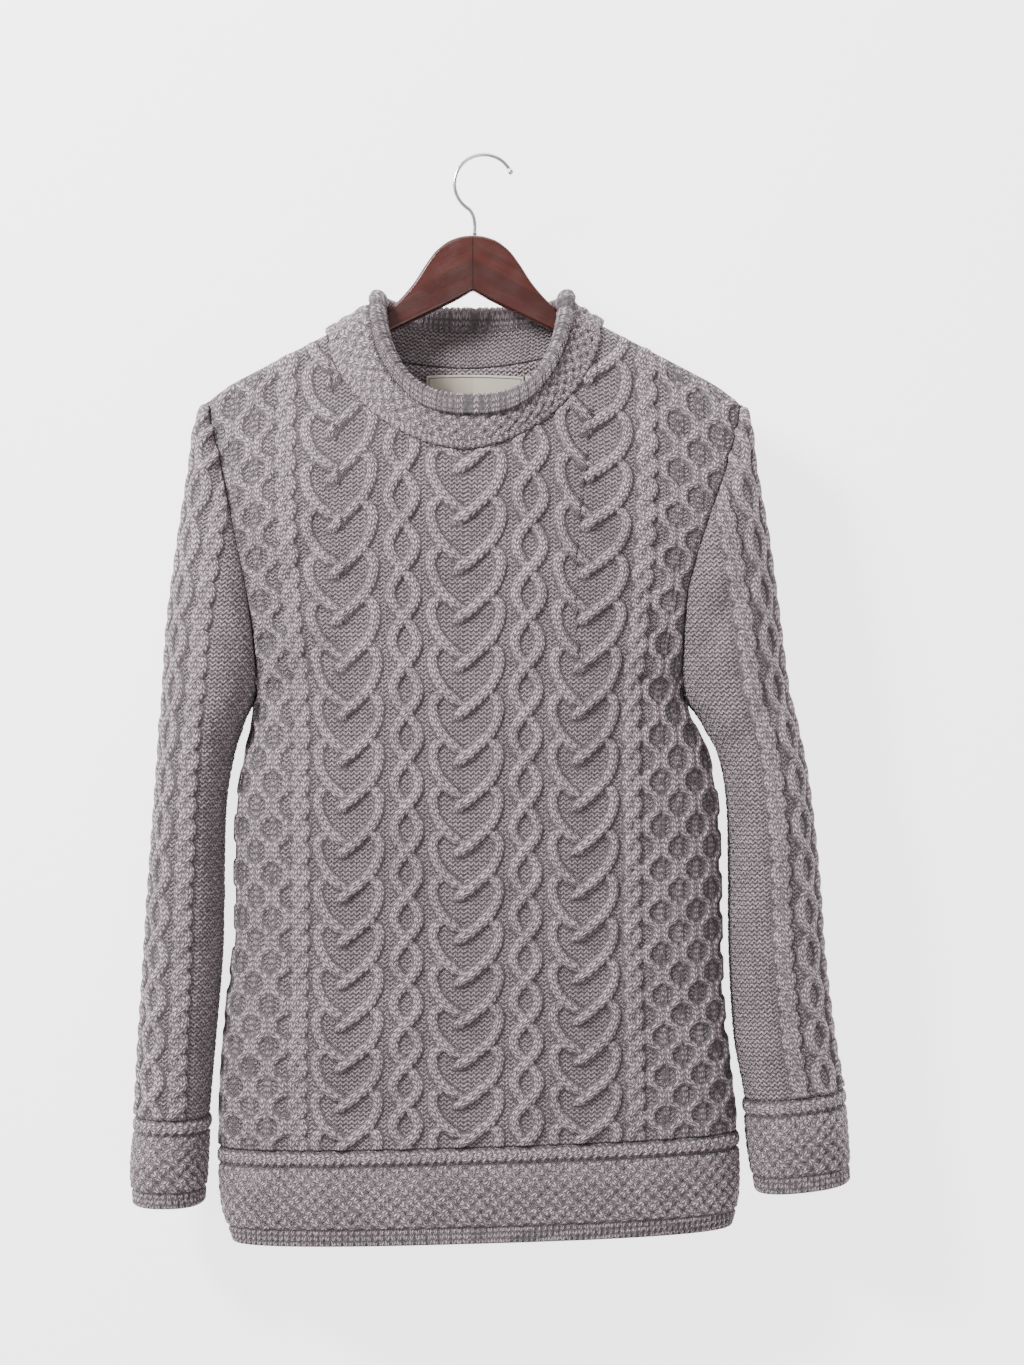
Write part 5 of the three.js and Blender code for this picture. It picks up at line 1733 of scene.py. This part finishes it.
def stitch_group() -> bpy.types.NodeTree:
    """Height of single stitches: slanted pairs on strands and small bumps on the ground, also given
    without fuzz as the mask for painted shade between stitches.

    Returns:
        The group.
    """
    sockets = {"Height": "NodeSocketFloat", "StitchShade": "NodeSocketFloat"}
    tree, g = new_group("stitches", sockets)
    across, along, knit = g.split(g.attribute("stitch", "Vector"))
    wale, stitch, purl_wide, purl_high = 4.2, 4.6, 4.4, 3.3
    leg_slant, purl_stagger, fuzz_scale, fluff_scale = 0.75, 0.26, 900, 2600
    leg = g.math("DIVIDE", g.math("PINGPONG", across, wale / 2), wale / 2)
    step = g.math("ADD", g.math("DIVIDE", along, stitch), g.math("MULTIPLY", leg, leg_slant))
    beat = g.math("COSINE", g.math("MULTIPLY", step, 2 * math.pi))
    round_leg = g.math("SINE", g.math("MULTIPLY", leg, math.pi))
    legs = g.math("MULTIPLY", g.math("POWER", round_leg, 0.5), g.span(beat, -0.9, 0.2, 0.0, 1))
    weave = g.math("SINE", g.math("MULTIPLY", across, 2 * math.pi / purl_wide))
    stagger = g.math("MULTIPLY", weave, purl_stagger)
    row = g.math("ADD", g.math("DIVIDE", along, purl_high), stagger)
    beads = g.math("COSINE", g.math("MULTIPLY", across, 4 * math.pi / purl_wide))
    wave = g.math("COSINE", g.math("MULTIPLY", row, 2 * math.pi))
    bumps = g.span(g.math("ADD", wave, g.math("MULTIPLY", beads, 0.35)), -1.1, 1.1, 0.0, 1)
    out = g.node("NodeGroupOutput")
    part = g.math("MULTIPLY", legs, knit)
    rest = g.math("MULTIPLY", bumps, g.math("SUBTRACT", 1.0, knit))
    stitches = g.math("ADD", part, rest)
    spot = g.place()
    fluff = g.math("MULTIPLY", g.noise(spot, fluff_scale, 2), 0.6)
    fuzz = g.math("ADD", g.noise(spot, fuzz_scale, 3), fluff)
    twist = g.math("ADD", stitches, g.math("MULTIPLY", g.math("SUBTRACT", fuzz, 0.8), 0.35))
    g.put(out.inputs["Height"], twist)
    g.put(out.inputs["StitchShade"], stitches)
    return tree


def heather_and_hollow_shade_group(dark: tuple, light: tuple) -> bpy.types.NodeTree:
    """Mottled colour of yarn spun from several shades, with painted shade that darkens it where the
    relief is low, in the hollows between cables.

    Args:
        dark: Darkest fibre colour.
        light: Lightest fibre colour.

    Returns:
        The group.
    """
    tree, g = new_group("heather_and_hollow_shade", {"Color": "NodeSocketColor"})
    spot = g.place()
    fibre_scale, patch_scale, fleck_scale = 480, 45, 1300
    fibres = g.span(g.noise(spot, fibre_scale, 4), 0.36, 0.66, 0, 1)
    patches = g.span(g.noise(spot, patch_scale, 3), 0.3, 0.7, 0.84, 1.1)
    flecks = g.span(g.noise(spot, fleck_scale, 3), 0.6, 0.74, 0, 0.3)
    yarn = g.blend(fibres, (*dark, 1), (*light, 1))
    yarn = g.blend(flecks, yarn, (0.62, 0.59, 0.6, 1))
    # Painted shade: the colour is darkened where the relief is low, in the hollows between cables,
    # and a little lightened on the crowns.
    hollow_shade = g.span(g.attribute("relief", "Fac"), 0.0, 2.6, 0.62, 1.1)
    out = g.node("NodeGroupOutput")
    g.put(out.inputs["Color"], g.shaded(yarn, g.math("MULTIPLY", hollow_shade, patches)))
    return tree


def new_material(name: str) -> tuple[bpy.types.Material, Graph, bpy.types.Node]:
    """Starts a material.

    Args:
        name: Its name.

    Returns:
        The material, a graph over its nodes and its Principled node.
    """
    made = bpy.data.materials.new(name)
    made.use_nodes = True
    return made, Graph(made.node_tree), made.node_tree.nodes["Principled BSDF"]


@dataclass(frozen=True)
class Wool:
    """Heathered wool, knitted, with painted shade in the hollows between cables and between
    stitches.
    """

    dark: tuple[float, float, float] = (0.37, 0.293, 0.32)
    light: tuple[float, float, float] = (0.62, 0.52, 0.555)
    bump: float = 0.002

    def make(self) -> bpy.types.Material:
        """Makes the material.

        Returns:
            The material.
        """
        made, g, shader = new_material("wool")
        stitches = g.node("ShaderNodeGroup", node_tree=stitch_group())
        heather_and_hollow_shade = g.node("ShaderNodeGroup", node_tree=heather_and_hollow_shade_group(self.dark, self.light))
        # Painted shade and light: the colour is darker in the dips between stitch legs and purl
        # bumps, and lighter on their crowns.
        yarn = g.span(stitches.outputs["StitchShade"], 0, 0.85, 0.3, 1.2)
        g.put(shader.inputs["Base Color"], g.shaded(heather_and_hollow_shade.outputs["Color"], yarn))
        g.put(shader.inputs["Normal"], g.bump(stitches.outputs["Height"], self.bump))
        shader.inputs["Roughness"].default_value = 0.95
        shader.inputs["Specular IOR Level"].default_value = 0.2
        shader.inputs["Sheen Weight"].default_value = 0.25
        shader.inputs["Sheen Roughness"].default_value = 0.6
        shader.inputs["Sheen Tint"].default_value = (0.9, 0.86, 0.88, 1)
        return made


@dataclass(frozen=True)
class Woven:
    """Cream satin ribbon with a plain woven line round it."""

    ground: tuple[float, float, float] = (0.7, 0.63, 0.52)
    line: tuple[float, float, float] = (0.02, 0.025, 0.06)

    def make(self, tag: Tag, inset: float, width: float) -> bpy.types.Material:
        """Makes the material for one tag.

        Args:
            tag: The tag, whose sizes place the line.
            inset: Distance of the line from the tag's edges.
            width: Width of the line.

        Returns:
            The material.
        """
        made, g, shader = new_material(f"woven {tag.name}")
        u, v, _ = g.split(g.attribute("stitch", "Vector"))
        half_wide, half_high = (tag.right - tag.left) / 2, (tag.bottom - tag.top) / 2
        off_u = g.math("ABSOLUTE", g.math("SUBTRACT", u, tag.left + half_wide))
        off_v = g.math("ABSOLUTE", g.math("SUBTRACT", v, tag.top + half_high))
        near_u, near_v = g.math("SUBTRACT", half_wide, off_u), g.math("SUBTRACT", half_high, off_v)
        edge = g.math("MINIMUM", near_u, near_v)
        off_line = g.math("ABSOLUTE", g.math("SUBTRACT", edge, inset))
        line = g.math("LESS_THAN", off_line, width / 2)
        g.put(shader.inputs["Base Color"], g.blend(line, (*self.ground, 1), (*self.line, 1)))
        ribs = g.math("SINE", g.math("MULTIPLY", v, 2 * math.pi / 0.5))
        g.put(shader.inputs["Normal"], g.bump(ribs, 0.00006))
        shader.inputs["Roughness"].default_value = 0.48
        shader.inputs["Sheen Weight"].default_value = 0.15
        return made


@dataclass(frozen=True)
class Mahogany:
    """Dark stained wood with a fine grain, under a satin varnish, glued up along the middle."""

    dark: tuple[float, float, float] = (0.045, 0.008, 0.006)
    light: tuple[float, float, float] = (0.075, 0.014, 0.01)
    glue: tuple[float, float, float] = (0.012, 0.004, 0.003)
    glue_half: float = 0.00035
    stretch: float = 0.08
    wide_scale: float = 110
    fine_scale: float = 700

    def make(self, joint_x: float) -> bpy.types.Material:
        """Makes the material.

        Args:
            joint_x: Place of the glue line between the two halves.

        Returns:
            The material.
        """
        made, g, shader = new_material("mahogany")
        spot = g.place()
        x, y, z = g.split(spot)
        away = g.math("ABSOLUTE", g.math("SUBTRACT", x, joint_x * MM))
        height = g.math("ADD", z, g.math("MULTIPLY", away, SHOULDER_SLOPE))
        grain = g.node("ShaderNodeCombineXYZ")
        g.put(grain.inputs[0], g.math("MULTIPLY", x, self.stretch))
        g.put(grain.inputs[1], y)
        g.put(grain.inputs[2], height)
        wide = g.span(g.noise(grain.outputs[0], self.wide_scale, 4), 0.35, 0.66, 0, 1)
        fine = g.span(g.noise(grain.outputs[0], self.fine_scale, 3), 0.4, 0.75, 0, 0.5)
        share = g.math("SUBTRACT", wide, fine, clamp=True)
        wood = g.blend(share, (*self.dark, 1), (*self.light, 1))
        seam = g.math("LESS_THAN", away, self.glue_half)
        g.put(shader.inputs["Base Color"], g.blend(seam, wood, (*self.glue, 1)))
        sunk = g.math("SUBTRACT", g.math("MULTIPLY", fine, -0.4), seam)
        g.put(shader.inputs["Normal"], g.bump(sunk, 0.0003))
        g.put(shader.inputs["Roughness"], g.span(g.noise(spot, 60), 0.3, 0.7, 0.28, 0.42))
        shader.inputs["Coat Weight"].default_value = 0.12
        shader.inputs["Coat Roughness"].default_value = 0.18
        return made


@dataclass(frozen=True)
class Chrome:
    """Polished wire whose gloss varies faintly."""

    colour: tuple[float, float, float] = (0.78, 0.78, 0.8)

    def make(self) -> bpy.types.Material:
        """Makes the material.

        Returns:
            The material.
        """
        made, g, shader = new_material("chrome")
        shader.inputs["Metallic"].default_value = 1
        g.put(shader.inputs["Base Color"], (*self.colour, 1))
        g.put(shader.inputs["Roughness"], g.span(g.noise(g.place(), 300), 0.3, 0.7, 0.1, 0.24))
        return made


@dataclass(frozen=True)
class Cut:
    """What one sheet of cloth measures when it lies flat, in metres."""

    width: float
    length: float
    share: float
    rests_on: tuple[str, ...]


NODES = {
    "cloth_front": "front",
    "cloth_back": "back",
    "hem_front": "hem_band_front",
    "hem_back": "hem_band_back",
    "arm_left": "sleeve_left",
    "arm_right": "sleeve_right",
    "wrist_left": "cuff_left",
    "wrist_right": "cuff_right",
    "neck_band": "collar",
    "neck_label": "label",
    "size_mark": "size_tab",
    "board": "hanger",
    "wire": "hook",
}


class Garment:
    """The sweater, its tags and its hanger."""

    def __init__(self) -> None:
        """Works out the grounds that the pieces share."""
        self.body = BodyForm()
        self.sleeves = {side: SleeveForm(side) for side in Side}
        self.pieces: dict[str, bpy.types.Object] = {}

    def build(self) -> None:
        """Makes every piece and gives it its finish."""
        wool = Wool().make()
        for face in Face:
            self.add(BodyPanel(face).build(self.body), wool)
            self.add(HemBand(face).build(self.body), wool)
        for form in self.sleeves.values():
            self.add(Sleeve().build(form), wool)
            self.add(Cuff().build(form), wool)
        self.add(Collar().build(self.body), wool)
        self.add(LABEL.build(self.body), Woven().make(LABEL, 2.0, 0.7))
        self.add(SIZE_TAG.build(self.body), Woven().make(SIZE_TAG, 1.6, 0.5))
        self.add(Hanger().build(), Mahogany().make(Hanger().x))
        self.add(Hook().build(), Chrome().make())

    def add(self, piece: bpy.types.Object, finish: bpy.types.Material) -> None:
        """Puts a piece in place of its CAD node.

        Args:
            piece: The piece.
            finish: Its material.
        """
        node = NODES[piece.name]
        piece.data.materials.append(finish)
        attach(piece, "root")
        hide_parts(node)
        self.pieces[piece.name] = piece
        log.info("%s: %d faces", piece.name, len(piece.data.polygons))


@dataclass(frozen=True)
class Studio:
    """Pale wall, soft light and a camera at the picture's angle. Sizes in metres."""

    wall_y: float = 0.078
    camera: tuple[float, float, float] = (0.022, -2.2, -0.41)
    view_angle: float = 27.2

    def build(self) -> None:
        """Makes the wall, lights, world and camera."""
        self.backdrop()
        self.light("key", (-1.25, -1.45, 0.7), 0.5, 74)
        self.light("fill", (0.6, -2.1, -1.0), 1.4, 14)
        self.light("top", (-0.1, -0.55, 0.95), 0.9, 7)
        world = bpy.data.worlds.new("studio")
        world.use_nodes = True
        background = world.node_tree.nodes["Background"]
        background.inputs["Color"].default_value = (1.0, 0.98, 0.97, 1)
        background.inputs["Strength"].default_value = 0.5
        bpy.context.scene.world = world
        self.aim_camera()

    def backdrop(self) -> None:
        """Makes the wall. Seen from behind, it is clear."""
        reach = 3.0
        corners = [(-reach, -reach), (reach, -reach), (reach, reach), (-reach, reach)]
        mesh = bpy.data.meshes.new("wall")
        mesh.from_pydata([(x, self.wall_y, z) for x, z in corners], [], [[0, 1, 2, 3]])
        wall = bpy.data.objects.new("wall", mesh)
        bpy.context.scene.collection.objects.link(wall)
        made, g, shader = new_material("plain wall")
        shader.inputs["Base Color"].default_value = (0.88, 0.875, 0.87, 1)
        shader.inputs["Roughness"].default_value = 0.9
        shader.inputs["Emission Color"].default_value = (1, 1, 1, 1)
        shader.inputs["Emission Strength"].default_value = 2.6
        clear = g.node("ShaderNodeBsdfTransparent")
        choice = g.node("ShaderNodeMixShader")
        behind = g.node("ShaderNodeNewGeometry").outputs["Backfacing"]
        g.put(choice.inputs[0], behind)
        g.put(choice.inputs[1], shader.outputs[0])
        g.put(choice.inputs[2], clear.outputs[0])
        g.put(made.node_tree.nodes["Material Output"].inputs["Surface"], choice.outputs[0])
        mesh.materials.append(made)
        wall.visible_shadow = False

    @staticmethod
    def light(name: str, place: tuple[float, float, float], size: float, power: float) -> None:
        """Makes a soft light that faces the sweater.

        Args:
            name: Its name.
            place: Where it stands.
            size: Width of its square face.
            power: Watts.
        """
        data = bpy.data.lights.new(name, "AREA")
        data.size, data.energy = size, power
        lamp = bpy.data.objects.new(name, data)
        lamp.location = place
        aim = Vector((0, 0, -0.4)) - Vector(place)
        lamp.rotation_euler = aim.to_track_quat("-Z", "Y").to_euler()
        bpy.context.scene.collection.objects.link(lamp)

    def aim_camera(self) -> None:
        """Puts the camera where the picture was taken from, level."""
        data = bpy.data.cameras.new("camera")
        data.sensor_fit = "VERTICAL"
        data.angle = math.radians(self.view_angle)
        data.dof.use_dof = False
        camera = bpy.data.objects.new("camera", data)
        camera.location = self.camera
        camera.rotation_euler = (math.pi / 2, 0, 0)
        bpy.context.scene.collection.objects.link(camera)
        bpy.context.scene.camera = camera


def main() -> None:
    """Builds the scene in order."""
    logging.basicConfig(level=logging.INFO, format="%(name)s: %(message)s")
    Garment().build()
    Studio().build()


if __name__ == "__main__":
    main()
